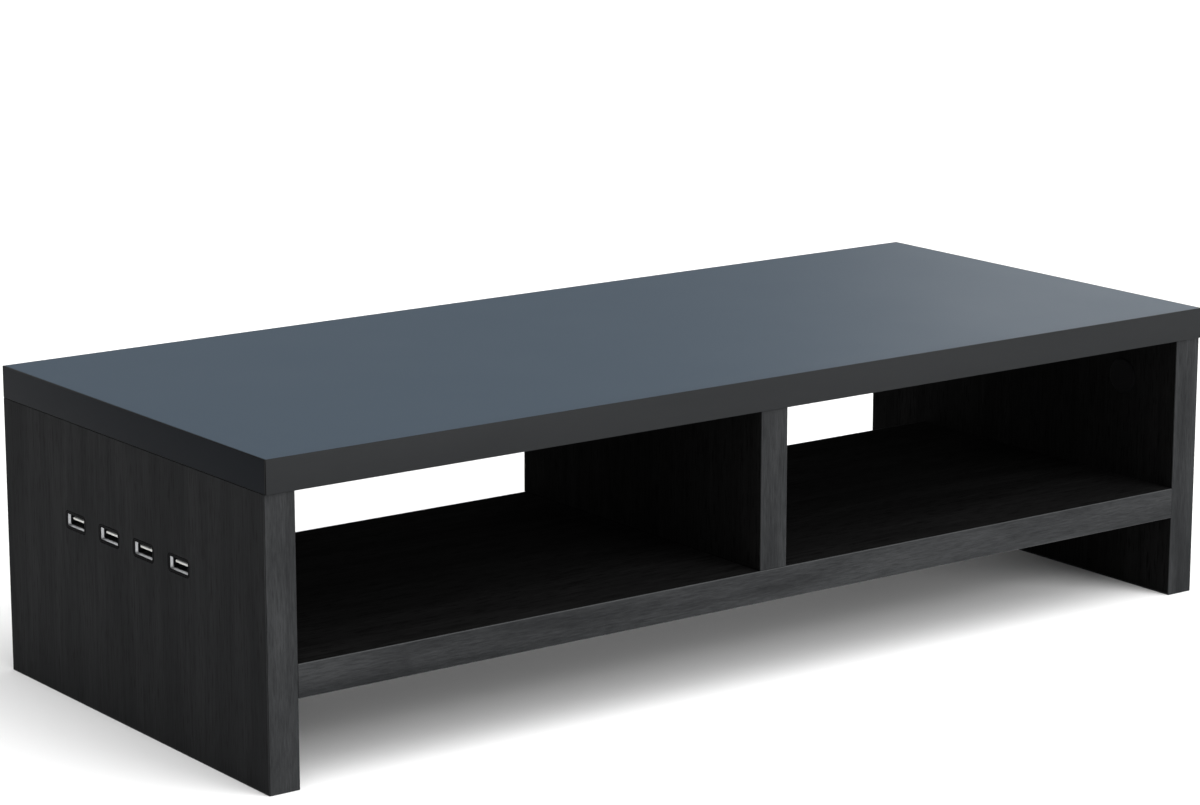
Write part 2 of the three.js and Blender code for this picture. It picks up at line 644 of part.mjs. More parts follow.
function makeHub() {
  const group = subassembly("hub");
  const boardX = -INNER_X + HUB_BOARD_STANDOFF;
  const inletX = boardX + HUB_BOARD + FIT + INLET_HALF[1];
  place(group, "hub_cover", hubCover(inletX), blackPlastic);
  place(group, "hub_base_plate", hubBasePlate(), blackPlastic);
  place(group, "hub_circuit_board", hubCircuitBoard(boardX), circuitGreen);
  place(group, "hub_inlet_socket", hubInletSocket().translate(inletX, hubSpan[1], PORT_Z), socketSteel);
  portRow.forEach((y, i) => {
    place(group, "port_shell_" + (i + 1), portShell(y), socketSteel);
    place(group, "port_tongue_" + (i + 1), portTongue(y), tongueWhite);
  });
  FRONT_AND_BACK.forEach(([row], i) => {
    place(group, "hub_screw_" + row, hubScrew().translate(-INNER_X, earMiddles[i], PORT_Z), zinc);
  });
}

// ---------------------------------------------------------------- the whole stand
makeTop();
makeShelf();
makeDivider();
makeDividerFittings();
for (const [name, side] of LEFT_AND_RIGHT) {
  makeSide(name + "_side", side);
  makeTopFittings(name, side);
  makeShelfFittings(name, side);
}
makeHub();

export default root;
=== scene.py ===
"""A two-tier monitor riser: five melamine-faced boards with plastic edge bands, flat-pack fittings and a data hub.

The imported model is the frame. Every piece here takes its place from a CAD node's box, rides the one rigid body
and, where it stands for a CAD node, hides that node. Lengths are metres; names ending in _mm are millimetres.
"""

import logging
from dataclasses import dataclass
from enum import Enum

import bmesh
import bpy
import numpy as np
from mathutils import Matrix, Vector


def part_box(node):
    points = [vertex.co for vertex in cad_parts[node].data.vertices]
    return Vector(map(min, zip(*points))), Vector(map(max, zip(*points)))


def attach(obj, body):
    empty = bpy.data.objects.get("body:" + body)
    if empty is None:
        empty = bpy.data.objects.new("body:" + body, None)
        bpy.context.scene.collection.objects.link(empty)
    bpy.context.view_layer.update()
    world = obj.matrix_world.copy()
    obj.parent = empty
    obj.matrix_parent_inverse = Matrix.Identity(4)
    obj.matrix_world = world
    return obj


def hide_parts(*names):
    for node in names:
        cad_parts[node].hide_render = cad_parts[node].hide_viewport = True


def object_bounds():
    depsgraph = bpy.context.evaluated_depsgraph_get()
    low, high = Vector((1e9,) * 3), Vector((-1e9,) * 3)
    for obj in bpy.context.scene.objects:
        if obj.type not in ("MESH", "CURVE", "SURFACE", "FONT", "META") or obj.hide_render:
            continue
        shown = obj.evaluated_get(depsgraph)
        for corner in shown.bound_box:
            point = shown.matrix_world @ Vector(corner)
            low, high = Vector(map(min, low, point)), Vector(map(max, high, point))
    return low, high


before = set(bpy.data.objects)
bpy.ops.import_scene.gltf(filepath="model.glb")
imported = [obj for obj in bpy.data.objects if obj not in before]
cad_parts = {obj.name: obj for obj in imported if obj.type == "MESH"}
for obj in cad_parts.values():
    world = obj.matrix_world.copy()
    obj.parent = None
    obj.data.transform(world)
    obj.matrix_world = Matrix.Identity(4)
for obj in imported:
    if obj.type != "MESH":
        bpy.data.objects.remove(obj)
CAD_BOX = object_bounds()

log = logging.getLogger("monitor_riser")

MM = 0.001
BODY = "root"
POLYMER_IOR = 1.5
POINT = 1e-6  # metres: the radius of a square corner, and how close two points are when they are one
NEAR = 0.02 * MM  # how close a face or an edge is to the box that it lies on
PIN_MM = 0.05  # the radius at which a turned shape's end closes

Array = np.ndarray
Node = bpy.types.Node
Tree = bpy.types.NodeTree
Piece = bpy.types.Object
Pair = tuple[float, float]
Triple = tuple[float, float, float]
Corners = tuple[float, float, float, float]
Faces = list[tuple[int, ...]]
Surface = tuple[Array, Faces]


class Grain(Enum):
    """The way that a printed or embossed wood grain runs, as the index of a row axis."""

    ALONG_X = 0
    ALONG_Y = 1
    ALONG_Z = 2


class Rim(Enum):
    """How far an arris is broken, as a share of a board's full edge break."""

    BARE = 1.0
    BESIDE_BAND = 0.45
    BESIDE_FLUSH_BAND = 0.12
    BORE = 0.5


# ---- colour and nodes
def linear(hex_colour: str) -> Corners:
    """Turns an sRGB hex colour into the linear colour that a shader socket takes.

    Args:
        hex_colour: Six hex digits, red first.

    Returns:
        Red, green, blue and an alpha of one.
    """
    srgb = np.array([int(hex_colour[i : i + 2], 16) for i in (0, 2, 4)]) / 255
    rgb = np.where(srgb <= 0.04045, srgb / 12.92, ((srgb + 0.055) / 1.055) ** 2.4)
    return (float(rgb[0]), float(rgb[1]), float(rgb[2]), 1.0)


def connect(node: Node, inputs: dict) -> None:
    """Sets or links a node's inputs.

    Args:
        node: The node.
        inputs: Input name or number to a plain value, an output socket, or a node whose first output is linked in.
    """
    for name, value in inputs.items():
        source = value.outputs[0] if isinstance(value, Node) else value
        if isinstance(source, bpy.types.NodeSocket):
            node.id_data.links.new(source, node.inputs[name])
        else:
            node.inputs[name].default_value = source


def add_node(tree: Tree, kind: str, inputs: dict | None = None, **settings: object) -> Node:
    """Adds a shader node with its settings, its values and its links.

    Args:
        tree: The node tree that gets the node.
        kind: The node's type name without its ShaderNode prefix.
        inputs: Its inputs, as connect takes them.
        settings: Properties of the node itself.

    Returns:
        The new node.
    """
    node = tree.nodes.new("ShaderNode" + kind)
    for name, value in settings.items():
        setattr(node, name, value)
    connect(node, inputs or {})
    return node


def stretched(tree: Tree, sizes_mm: Triple) -> Node:
    """Object coordinates measured in pattern cells, so that one cell is sizes_mm big along X, Y and Z.

    Args:
        tree: The material's node tree.
        sizes_mm: The size of one cell of the pattern along each axis.

    Returns:
        The node that gives the scaled vector.
    """
    place = add_node(tree, "TexCoord")
    scale = tuple(1 / (size * MM) for size in sizes_mm)
    return add_node(tree, "Mapping", {"Vector": place.outputs["Object"], "Scale": scale})


def grain_cell(grain: Grain, along_mm: float, across_mm: float) -> Triple:
    """The size of a grain mark: along_mm on the grain's axis and across_mm on the other two."""
    return tuple(along_mm if axis == grain.value else across_mm for axis in range(3))


# ---- finishes
@dataclass(frozen=True)
class Finish:
    """A surface finish: what it is called and the material slot of the record that it belongs to."""

    title: str
    slot: str

    def material(self) -> bpy.types.Material:
        """Returns this finish's material, made the first time that it is asked for."""
        made = bpy.data.materials.get(self.title)
        if made is None:
            made = bpy.data.materials.new(self.title)
            made.use_nodes = True
            made.node_tree.nodes.clear()
            shader = add_node(made.node_tree, "BsdfPrincipled")
            add_node(made.node_tree, "OutputMaterial", {"Surface": shader})
            self.dress(made.node_tree, shader)
        return made

    def dress(self, tree: Tree, shader: Node) -> None:
        """Adds the finish's own nodes and feeds them to the shader.

        Args:
            tree: The material's node tree.
            shader: The Principled shader to feed.
        """
        raise NotImplementedError


@dataclass(frozen=True)
class SlateLaminate(Finish):
    """Slate-grey melamine paper, pressed against a satin plate: the riser's top face.

    To the eye it is a flat, cool grey with a soft sheen that grows towards the far edge, a very fine speckle from
    the pressed plate, and faint cloudy patches where hands and screen feet have polished it.
    """

    body: str = "313d48"
    speckle: str = "374450"
    roughness: Pair = (0.46, 0.48)
    specular: float = 0.12
    plate_grit_mm: float = 0.9
    grit_depth_mm: float = 0.05
    polish_patch_mm: float = 70.0

    def dress(self, tree: Tree, shader: Node) -> None:
        """Adds the plate's speckle to the colour and relief, and the polished patches to the roughness.

        Args:
            tree: The material's node tree.
            shader: The Principled shader to feed.
        """
        grit = stretched(tree, (self.plate_grit_mm,) * 3)
        patch = stretched(tree, (self.polish_patch_mm,) * 3)
        fine = add_node(tree, "TexNoise", {"Vector": grit, "Scale": 1.0, "Detail": 3.0, "Roughness": 0.6})
        cloud = add_node(tree, "TexNoise", {"Vector": patch, "Scale": 1.0, "Detail": 3.0})
        colours = {"Color1": linear(self.body), "Color2": linear(self.speckle)}
        colour = add_node(tree, "MixRGB", {"Fac": fine, **colours})
        low, high = self.roughness
        spread = {"From Min": 0.3, "From Max": 0.7, "To Min": low, "To Max": high}
        gloss = add_node(tree, "MapRange", {"Value": cloud, **spread})
        relief = add_node(tree, "Bump", {"Height": fine, "Strength": 0.12, "Distance": self.grit_depth_mm * MM})
        connect(shader, {"Base Color": colour, "Roughness": gloss, "Normal": relief})
        connect(shader, {"IOR": POLYMER_IOR, "Specular IOR Level": self.specular})


@dataclass(frozen=True)
class BlackAshLaminate(Finish):
    """Black melamine paper with a pressed open-pore ash grain: the faces of the sides, shelf and divider.

    To the eye it is a soft black with long, slightly lighter fibre streaks, short dark pores that catch the light
    at their edges, and slow bands of lighter and darker board between them.
    """

    grain: Grain = Grain.ALONG_Z
    shade: str = "161718"
    fibre: str = "1a1b1c"
    pore: str = "101011"
    roughness: Pair = (0.62, 0.50)
    specular: float = 0.03
    figure_mm: Pair = (150.0, 12.0)
    fibre_mm: Pair = (38.0, 1.3)
    pore_mm: Pair = (9.0, 0.7)  # real pores are 0.2 mm wide, and these are wider so that they show
    pore_depth_mm: float = 0.06

    def dress(self, tree: Tree, shader: Node) -> None:
        """Adds the figure, the fibres and the pores to colour, roughness and relief.

        Args:
            tree: The material's node tree.
            shader: The Principled shader to feed.
        """
        figure_at = stretched(tree, grain_cell(self.grain, *self.figure_mm))
        fibre_at = stretched(tree, grain_cell(self.grain, *self.fibre_mm))
        pore_at = stretched(tree, grain_cell(self.grain, *self.pore_mm))
        figure = add_node(tree, "TexNoise", {"Vector": figure_at, "Scale": 1.0, "Detail": 2.0, "Distortion": 0.8})
        fibre = add_node(tree, "TexNoise", {"Vector": fibre_at, "Scale": 1.0, "Detail": 4.0, "Distortion": 0.3})
        pore = add_node(tree, "TexNoise", {"Vector": pore_at, "Scale": 1.0, "Detail": 1.0})
        streak = add_node(tree, "Math", {0: figure, 1: fibre}, operation="MULTIPLY")
        tone = add_node(tree, "MapRange", {"Value": streak, "From Min": 0.13, "From Max": 0.40})
        hollow = add_node(tree, "MapRange", {"Value": pore, "From Min": 0.56, "From Max": 0.68})
        wood = add_node(tree, "MixRGB", {"Fac": tone, "Color1": linear(self.shade), "Color2": linear(self.fibre)})
        colour = add_node(tree, "MixRGB", {"Fac": hollow, "Color1": wood, "Color2": linear(self.pore)})
        gloss = add_node(tree, "MapRange", {"Value": tone, "To Min": self.roughness[0], "To Max": self.roughness[1]})
        height = add_node(tree, "Math", {0: fibre, 1: hollow}, operation="SUBTRACT")
        relief = add_node(tree, "Bump", {"Height": height, "Strength": 0.2, "Distance": self.pore_depth_mm * MM})
        connect(shader, {"Base Color": colour, "Roughness": gloss, "Normal": relief})
        connect(shader, {"IOR": POLYMER_IOR, "Specular IOR Level": self.specular})


@dataclass(frozen=True)
class EdgeBandPlastic(Finish):
    """Black ABS edge band, rolled with a shallow grain and trimmed to rounded arrises.

    To the eye it is a shade lighter than the board, with short streaks along its length. Along each arris a line of
    slightly shinier plastic takes a painted colour: on the shelf's, divider's and right side's bands it is lighter,
    partly trimmed plastic and partly painted highlight; on the top's bands and the left side's outer bands it is near
    black, painted shade. The arris attribute of the mesh says where that line is.
    """

    grain: Grain = Grain.ALONG_X
    shade: str = "1b1c1d"
    crest: str = "323334"
    # painted light at the arrises: lighter than the band as a painted highlight on some bands, near black as painted
    # shade on others
    arris_highlight_and_shade: str = "4a4b4c"
    roughness: Pair = (0.5, 0.36)
    specular: float = 0.03
    streak_mm: Pair = (9.0, 0.8)
    mottle_mm: Pair = (90.0, 12.0)
    emboss: float = 0.5
    emboss_depth_mm: float = 0.12

    def dress(self, tree: Tree, shader: Node) -> None:
        """Adds the rolled streaks to colour and relief, and the arris's painted highlight and painted shade to colour
        and roughness.

        Args:
            tree: The material's node tree.
            shader: The Principled shader to feed.
        """
        streak_at = stretched(tree, grain_cell(self.grain, *self.streak_mm))
        mottle_at = stretched(tree, grain_cell(self.grain, *self.mottle_mm))
        streak = add_node(tree, "TexNoise", {"Vector": streak_at, "Scale": 1.0, "Detail": 5.0, "Roughness": 0.75})
        mottle = add_node(tree, "TexNoise", {"Vector": mottle_at, "Scale": 1.0, "Detail": 2.0})
        arris = add_node(tree, "Attribute", attribute_name="arris").outputs["Fac"]
        mixed = add_node(tree, "Math", {0: streak, 1: mottle}, operation="MULTIPLY")
        tone = add_node(tree, "MapRange", {"Value": mixed, "From Min": 0.13, "From Max": 0.39})
        band = add_node(tree, "MixRGB", {"Fac": tone, "Color1": linear(self.shade), "Color2": linear(self.crest)})
        # the arris takes its painted highlight and painted shade colour
        colour = add_node(tree, "MixRGB", {"Fac": arris, "Color1": band, "Color2": linear(self.arris_highlight_and_shade)})
        gloss = add_node(tree, "MapRange", {"Value": arris, "To Min": self.roughness[0], "To Max": self.roughness[1]})
        depth = self.emboss_depth_mm * MM
        relief = add_node(tree, "Bump", {"Height": streak, "Strength": self.emboss, "Distance": depth})
        connect(shader, {"Base Color": colour, "Roughness": gloss, "Normal": relief})
        connect(shader, {"IOR": POLYMER_IOR, "Specular IOR Level": self.specular})


@dataclass(frozen=True)
class RawChipboard(Finish):
    """Sawn particleboard, as it shows inside a bore.

    To the eye it is a light brown mass of flattened chips with darker gaps between them.
    """

    chip_mm: float = 1.6
    gap_depth_mm: float = 0.2

    def dress(self, tree: Tree, shader: Node) -> None:
        """Adds the chips as cells between two browns, with the gaps as relief.

        Args:
            tree: The material's node tree.
            shader: The Principled shader to feed.
        """
        chips_at = stretched(tree, (self.chip_mm, self.chip_mm, self.chip_mm * 0.5))
        chips = add_node(tree, "TexVoronoi", {"Vector": chips_at, "Scale": 1.0})
        tone = add_node(tree, "SeparateColor", {"Color": chips.outputs["Color"]})
        ramp = add_node(tree, "ValToRGB", {"Fac": tone})
        ramp.color_ramp.elements[0].color = linear("6e5236")
        ramp.color_ramp.elements[1].color = linear("c09a6b")
        gaps = {"Height": chips.outputs["Distance"], "Strength": 0.6, "Distance": self.gap_depth_mm * MM}
        connect(shader, {"Base Color": ramp, "Normal": add_node(tree, "Bump", gaps), "Roughness": 0.85})


@dataclass(frozen=True)
class DullMetal(Finish):
    """Plated steel or die-cast zinc.

    To the eye it is a grey metal whose highlights are broken by a fine crystalline mottle, with small dull spots.
    """

    body: str = "a9adb1"
    spot: str = "8b8f93"
    roughness: Pair = (0.28, 0.45)
    mottle_mm: float = 1.4
    mottle_depth_mm: float = 0.04

    def dress(self, tree: Tree, shader: Node) -> None:
        """Adds the plating's mottle to colour, roughness and relief.

        Args:
            tree: The material's node tree.
            shader: The Principled shader to feed.
        """
        mottle_at = stretched(tree, (self.mottle_mm,) * 3)
        mottle = add_node(tree, "TexNoise", {"Vector": mottle_at, "Scale": 1.0, "Detail": 4.0})
        colour = add_node(tree, "MixRGB", {"Fac": mottle, "Color1": linear(self.spot), "Color2": linear(self.body)})
        gloss = add_node(tree, "MapRange", {"Value": mottle, "To Min": self.roughness[1], "To Max": self.roughness[0]})
        depth = self.mottle_depth_mm * MM
        relief = add_node(tree, "Bump", {"Height": mottle, "Strength": 0.15, "Distance": depth})
        connect(shader, {"Base Color": colour, "Roughness": gloss, "Normal": relief, "Metallic": 1.0})


@dataclass(frozen=True)
class TurnedBeech(Finish):
    """Plain beech, turned into a dowel.

    To the eye it is a pale pinkish brown with short dark flecks along the grain.
    """

    fleck_mm: Pair = (4.0, 0.5)
    fleck_depth_mm: float = 0.1

    def dress(self, tree: Tree, shader: Node) -> None:
        """Adds the flecks to colour and relief.

        Args:
            tree: The material's node tree.
            shader: The Principled shader to feed.
        """
        fleck_at = stretched(tree, grain_cell(Grain.ALONG_Z, *self.fleck_mm))
        fleck = add_node(tree, "TexNoise", {"Vector": fleck_at, "Scale": 1.0, "Detail": 3.0})
        ramp = add_node(tree, "ValToRGB", {"Fac": fleck})
        ramp.color_ramp.elements[0].color = linear("9c7548")
        ramp.color_ramp.elements[0].position = 0.35
        ramp.color_ramp.elements[1].color = linear("d2ad7c")
        relief = add_node(tree, "Bump", {"Height": fleck, "Strength": 0.3, "Distance": self.fleck_depth_mm * MM})
        connect(shader, {"Base Color": ramp, "Normal": relief, "Roughness": 0.65})


@dataclass(frozen=True)
class MouldedPlastic(Finish):
    """Injection-moulded plastic with a spark-eroded texture.

    To the eye it is an even colour with a fine, soft-edged graining that breaks up its sheen.
    """

    body: str = "101112"
    crest: str = "18191a"
    roughness: float = 0.5
    specular: float = 0.25
    ior: float = 1.53
    grit_mm: float = 0.7
    grit_depth_mm: float = 0.06
    depth: float = 0.35

    def dress(self, tree: Tree, shader: Node) -> None:
        """Adds the eroded texture to colour and relief.

        Args:
            tree: The material's node tree.
            shader: The Principled shader to feed.
        """
        grit_at = stretched(tree, (self.grit_mm,) * 3)
        grit = add_node(tree, "TexNoise", {"Vector": grit_at, "Scale": 1.0, "Detail": 2.0, "Roughness": 0.4})
        colour = add_node(tree, "MixRGB", {"Fac": grit, "Color1": linear(self.body), "Color2": linear(self.crest)})
        depth = self.grit_depth_mm * MM
        relief = add_node(tree, "Bump", {"Height": grit, "Strength": self.depth, "Distance": depth})
        connect(shader, {"Base Color": colour, "Normal": relief, "Roughness": self.roughness})
        connect(shader, {"IOR": self.ior, "Specular IOR Level": self.specular})


@dataclass(frozen=True)
class PaleFloor(Finish):
    """Matt white studio floor with a trace of unevenness."""

    cloud_mm: float = 400.0

    def dress(self, tree: Tree, shader: Node) -> None:
        """Adds a slow variation of about one percent to the floor's white.

        Args:
            tree: The material's node tree.
            shader: The Principled shader to feed.
        """
        cloud = add_node(tree, "TexNoise", {"Vector": stretched(tree, (self.cloud_mm,) * 3), "Scale": 1.0})
        colour = add_node(tree, "MixRGB", {"Fac": cloud, "Color1": linear("f2f2f2"), "Color2": linear("f5f5f5")})
        connect(shader, {"Base Color": colour, "Roughness": 0.9, "Specular IOR Level": 0.1})


SLATE = SlateLaminate("slate_melamine", "slate_laminate")
CHIPBOARD = RawChipboard("raw_chipboard", "black_laminate")
ZINC = DullMetal("die_cast_zinc", "zinc")
SOCKET_STEEL = DullMetal("nickel_plated_sheet", "socket_steel", "b4b5b7", "a2a3a5", (0.42, 0.5), 0.8)
# A dark copy of the socket steel for the tube's inner skin: painted shade deep in the socket.
SHADED_STEEL = DullMetal("shade_painted_inner_sheet", "socket_steel", "2a2b2d", "1c1d1f", (0.6, 0.7), 0.8)
CONTACT_GOLD = DullMetal("gold_flash_contact", "socket_steel", "d9b45f", "c79f4c", (0.22, 0.3))
BEECH = TurnedBeech("turned_beech", "beech")
BLACK_ABS = MouldedPlastic("black_moulded_abs", "black_plastic")
MATT_BLACK_ABS = MouldedPlastic("matt_black_moulded_abs", "black_plastic", "0a0a0b", "0e0e0f", 0.7, 0.03)
WHITE_TONGUE = MouldedPlastic("white_moulded_nylon", "tongue_plastic", "d0d0cc", "e0e0dc", 0.45, 0.4, depth=0.1)
SOLDER_MASK = MouldedPlastic("green_solder_mask", "circuit_board", "123f28", "1a5435", 0.35, 0.5)
# Near black for the boards' rounded arrises, cut ends and window cuts; on the arrises it is painted shade along the
# seams.
SEAM_SHADE = MouldedPlastic("painted_seam_shade", "black_laminate", "060606", "0a0a0a", 0.8, 0.0)
FLOOR = PaleFloor("pale_floor", "stage")


def ash(grain: Grain) -> BlackAshLaminate:
    """Black ash laminate for the outside, whose grain runs the given way."""
    return BlackAshLaminate("black_ash_melamine_" + grain.name.lower(), "black_laminate", grain)


def matt_shaded_ash(grain: Grain) -> BlackAshLaminate:
    """The black laminate inside the bays, darker than the outside's as painted shade and with no specular reflection,
    whose grain runs the given way.
    """
    title = "matt_black_ash_melamine_" + grain.name.lower()
    # shade 101010 and fibre 171717 are darker than the outside's: painted shade inside the bays
    return BlackAshLaminate(title, "black_laminate", grain, "101010", "171717", "0a0a0a", specular=0.0)


class Band(Enum):
    """The kinds of edge band on the stand."""

    FACE = "face"
    RETURN = "return"
    # the top's end bands, coloured darker than its front and back bands as painted shade
    UPRIGHT = "upright"
    # the left side's bands, whose arris colour is near black as painted shade
    OUTER_UPRIGHT = "outer_upright"
    RAIL = "rail"

    @property
    def arris_shares(self) -> Pair:
        """How strongly the arris's painted highlight and shade colour shows along the strip's two arrises and round
        its two ends.
        """
        return {Band.FACE: (0.0, 1.0), Band.RETURN: (0.9, 1.0)}.get(self, (0.6, 0.1))


def band_finish(kind: Band, grain: Grain) -> EdgeBandPlastic:
    """The finish of a kind of edge band.

    Args:
        kind: The kind of band.
        grain: The way that its rolled grain runs.

    Returns:
        Its finish.
    """
    looks = {
        # Arris colours are painted light: 060606 and 080808 are painted shade on the rounded arrises of the top's and
        # left side's bands; 3a3b3c and 4a4b4c are partly trimmed plastic and partly painted highlight.
        Band.FACE: {"shade": "232425", "crest": "252627", "arris_highlight_and_shade": "060606", "emboss": 0.03},
        # shade 0f1216 and crest 111418: the same band as the face, painted darker as the shade on the top's ends
        Band.RETURN: {"shade": "0f1216", "crest": "111418", "arris_highlight_and_shade": "060606", "emboss": 0.03},
        Band.UPRIGHT: {"arris_highlight_and_shade": "3a3b3c", "emboss": 0.6},
        Band.OUTER_UPRIGHT: {"arris_highlight_and_shade": "080808", "emboss": 0.6},
        Band.RAIL: {"arris_highlight_and_shade": "4a4b4c", "emboss": 0.6},
    }
    title = f"{kind.value}_abs_edge_band_{grain.name.lower()}"
    return EdgeBandPlastic(title, "black_band", grain, **looks[kind])


# ---- surfaces
def corner_outline(low: Array, high: Array, radii: Corners, steps: int) -> Array:
    """A rectangle with four rounded corners, as points that run anticlockwise from the high-high corner.

    Each corner is centre + radius * (cos t, sin t), with t going through that corner's quarter turn.

    Args:
        low: The rectangle's lowest corner, (2,).
        high: Its highest corner, (2,).
        radii: The radius at the high-high, low-high, low-low and high-low corners.
        steps: Segments in each quarter turn.

    Returns:
        Points of shape (4 * (steps + 1), 2).
    """
    signs = np.array([[1, 1], [-1, 1], [-1, -1], [1, -1]])
    radius = np.array(radii)[:, None]
    corner = np.where(signs > 0, high, low)
    centre = corner - signs * radius
    turn = (np.arange(4)[:, None] + np.linspace(0, 1, steps + 1)[None, :]) * np.pi / 2
    arc = np.stack([np.cos(turn), np.sin(turn)], axis=-1)
    return (centre[:, None, :] + radius[:, :, None] * arc).reshape(-1, 2)


def rounded_bar(
    low: Array, high: Array, radii: Corners, drawn: Array, end: float, long: int, steps: int = 4
) -> Array:
    """Rings of a bar along one axis, with rounded long edges and rounded ends.

    Near an end the section is drawn in by e - sqrt(e^2 - (e - s)^2), where s is the distance from the end and e
    the end's radius, so that the ends are quarter rounds too. A side that isn't drawn in stays flat.

    Args:
        low: The bar's lowest corner, (3,).
        high: Its highest corner, (3,).
        radii: The radii of the four long edges, as corner_outline takes them.
        drawn: For the low-u, low-v, high-u and high-v sides, 1 where the side is drawn in at the ends, else 0.
        end: The ends' radius.
        long: The axis that the bar runs along; u and v are the next two axes in turn.
        steps: Segments in each quarter round.

    Returns:
        Rings of shape (2 * (steps + 1), 4 * (steps + 1), 3).
    """
    uv = [(long + 1) % 3, (long + 2) % 3]
    turn = np.linspace(0, np.pi / 2, steps + 1)
    inset, place = end * (1 - np.sin(turn)), end * (1 - np.cos(turn))
    insets = np.concatenate([inset, inset[::-1]])
    places = np.concatenate([low[long] + place, high[long] - place[::-1]])
    rings = np.empty((len(places), 4 * (steps + 1), 3))
    for ring, less, at in zip(rings, insets, places):
        corners = tuple(max(radius - less, POINT) for radius in radii)
        ring[:, uv] = corner_outline(low[uv] + less * drawn[:2], high[uv] - less * drawn[2:], corners, steps)
        ring[:, long] = at
    return rings


def ring_quads(count: int, size: int, closed: bool = False) -> Faces:
    """Quads that join ring r to ring r + 1, where point i of ring r is number r * size + i and i goes round.

    Args:
        count: How many rings there are.
        size: Points in each ring.
        closed: Whether the last ring joins the first.

    Returns:
        The quads.
    """
    r, i = np.meshgrid(np.arange(count if closed else count - 1), np.arange(size), indexing="ij")
    j, here, there = (i + 1) % size, r * size, (r + 1) % count * size
    return list(map(tuple, np.stack([here + i, here + j, there + j, there + i], axis=-1).reshape(-1, 4).tolist()))


def loft(rings: Array) -> Surface:
    """Joins equal rings of points into one closed surface with a fan at each end, round the end ring's middle.

    Args:
        rings: Points of shape (rings, points, 3).

    Returns:
        The vertices, and the faces as tuples of vertex numbers.
    """
    count, size = rings.shape[:2]
    around = np.arange(size)
    after, top = (around + 1) % size, (count - 1) * size
    start = np.stack([np.full(size, count * size), after, around], axis=-1)
    end = np.stack([np.full(size, count * size + 1), top + around, top + after], axis=-1)
    vertices = np.concatenate([rings.reshape(-1, 3), rings[[0, -1]].mean(axis=1)])
    return vertices, ring_quads(count, size) + list(map(tuple, start.tolist() + end.tolist()))


def signed_volume(vertices: Array, faces: Faces) -> float:
    """The volume inside a closed surface, negative where its faces point inwards.

    It is the sum over fan triangles (a, b, c) of a . (b x c) / 6.

    Args:
        vertices: Points of shape (n, 3).
        faces: Faces as tuples of vertex numbers.

    Returns:
        The volume in cubic metres.
    """
    fans = [(f[0], f[k], f[k + 1]) for f in faces for k in range(1, len(f) - 1)]
    a, b, c = (vertices[list(corner)] for corner in zip(*fans))
    return float(np.einsum("ij,ij->i", a, np.cross(b, c)).sum() / 6)


def joined(*parts: Surface) -> Surface:
    """Puts closed surfaces side by side in one list of vertices and one of faces, all turned outward.

    Args:
        parts: Vertices and faces of each closed surface.

    Returns:
        All the vertices and all the faces.
    """
    vertices, faces, start = [], [], 0
    for points, own in parts:
        outward = own if signed_volume(points, own) > 0 else [face[::-1] for face in own]
        faces += [tuple(number + start for number in face) for face in outward]
        vertices.append(points)
        start += len(points)
    return np.concatenate(vertices), faces


def hexagon(turn: Array) -> Array:
    """The outline of a hexagon one across its half flats: 1 / cos of the turn from the nearest flat's middle."""
    return 1 / np.cos((turn + np.pi / 6) % (np.pi / 3) - np.pi / 6)


def cross(turn: Array) -> Array:
    """The outline of a cross with arms one long and 0.22 wide each way: the farther of its two bars' edges.

    Args:
        turn: Angles round the cross, in radians.

    Returns:
        The outline's distance from the middle at each angle.
    """
    arm, half = 1.0, 0.22
    cosine, sine = np.maximum(np.abs(np.cos(turn)), 1e-9), np.maximum(np.abs(np.sin(turn)), 1e-9)
    return np.maximum(np.minimum(arm / cosine, half / sine), np.minimum(arm / sine, half / cosine))


def revolve(profile_mm: list[tuple], segments: int = 48) -> Array:
    """Rings of a turned shape on the Z axis: point (r, i) is (R f(t) cos t, R f(t) sin t, h), with t going round.

    Args:
        profile_mm: (radius, height) or (radius, height, outline) in millimetres, where f is the outline, or 1.
        segments: Points in each ring.

    Returns:
        Rings of shape (len(profile), segments, 3), in metres.
    """
    turn = np.linspace(0, 2 * np.pi, segments, endpoint=False)
    radius = np.array([row[0] * (row[2] if len(row) > 2 else np.ones_like)(turn) for row in profile_mm]) * MM
    height = np.array([[row[1]] for row in profile_mm]) * MM + 0 * radius
    return np.stack([radius * np.cos(turn), radius * np.sin(turn), height], axis=-1)


def facing(points: Array, direction: Triple, at: Triple) -> Array:
    """Turns points made round +Z to face a direction, and moves them to a place.

    Args:
        points: Points of shape (..., 3) made round the Z axis.
        direction: The way that +Z is to point.
        at: Where the origin goes.

    Returns:
        The turned and moved points.
    """
    turn = np.array(Vector(direction).to_track_quat("Z", "Y").to_matrix())
    return points @ turn.T + np.array(Vector(at))


# ---- pieces
def box_corners(node: str) -> tuple[Array, Array]:
    """The lowest and highest corners of a CAD node's box."""
    low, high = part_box(node)
    return np.array(low), np.array(high)


def put(name: str, data: bpy.types.ID) -> Piece:
    """Makes an object of a mesh, a light or a camera, and links it into the scene.

    Args:
        name: The object's name.
        data: The mesh, light or camera.

    Returns:
        The new object.
    """
    made = bpy.data.objects.new(name, data)
    bpy.context.scene.collection.objects.link(made)
    return made


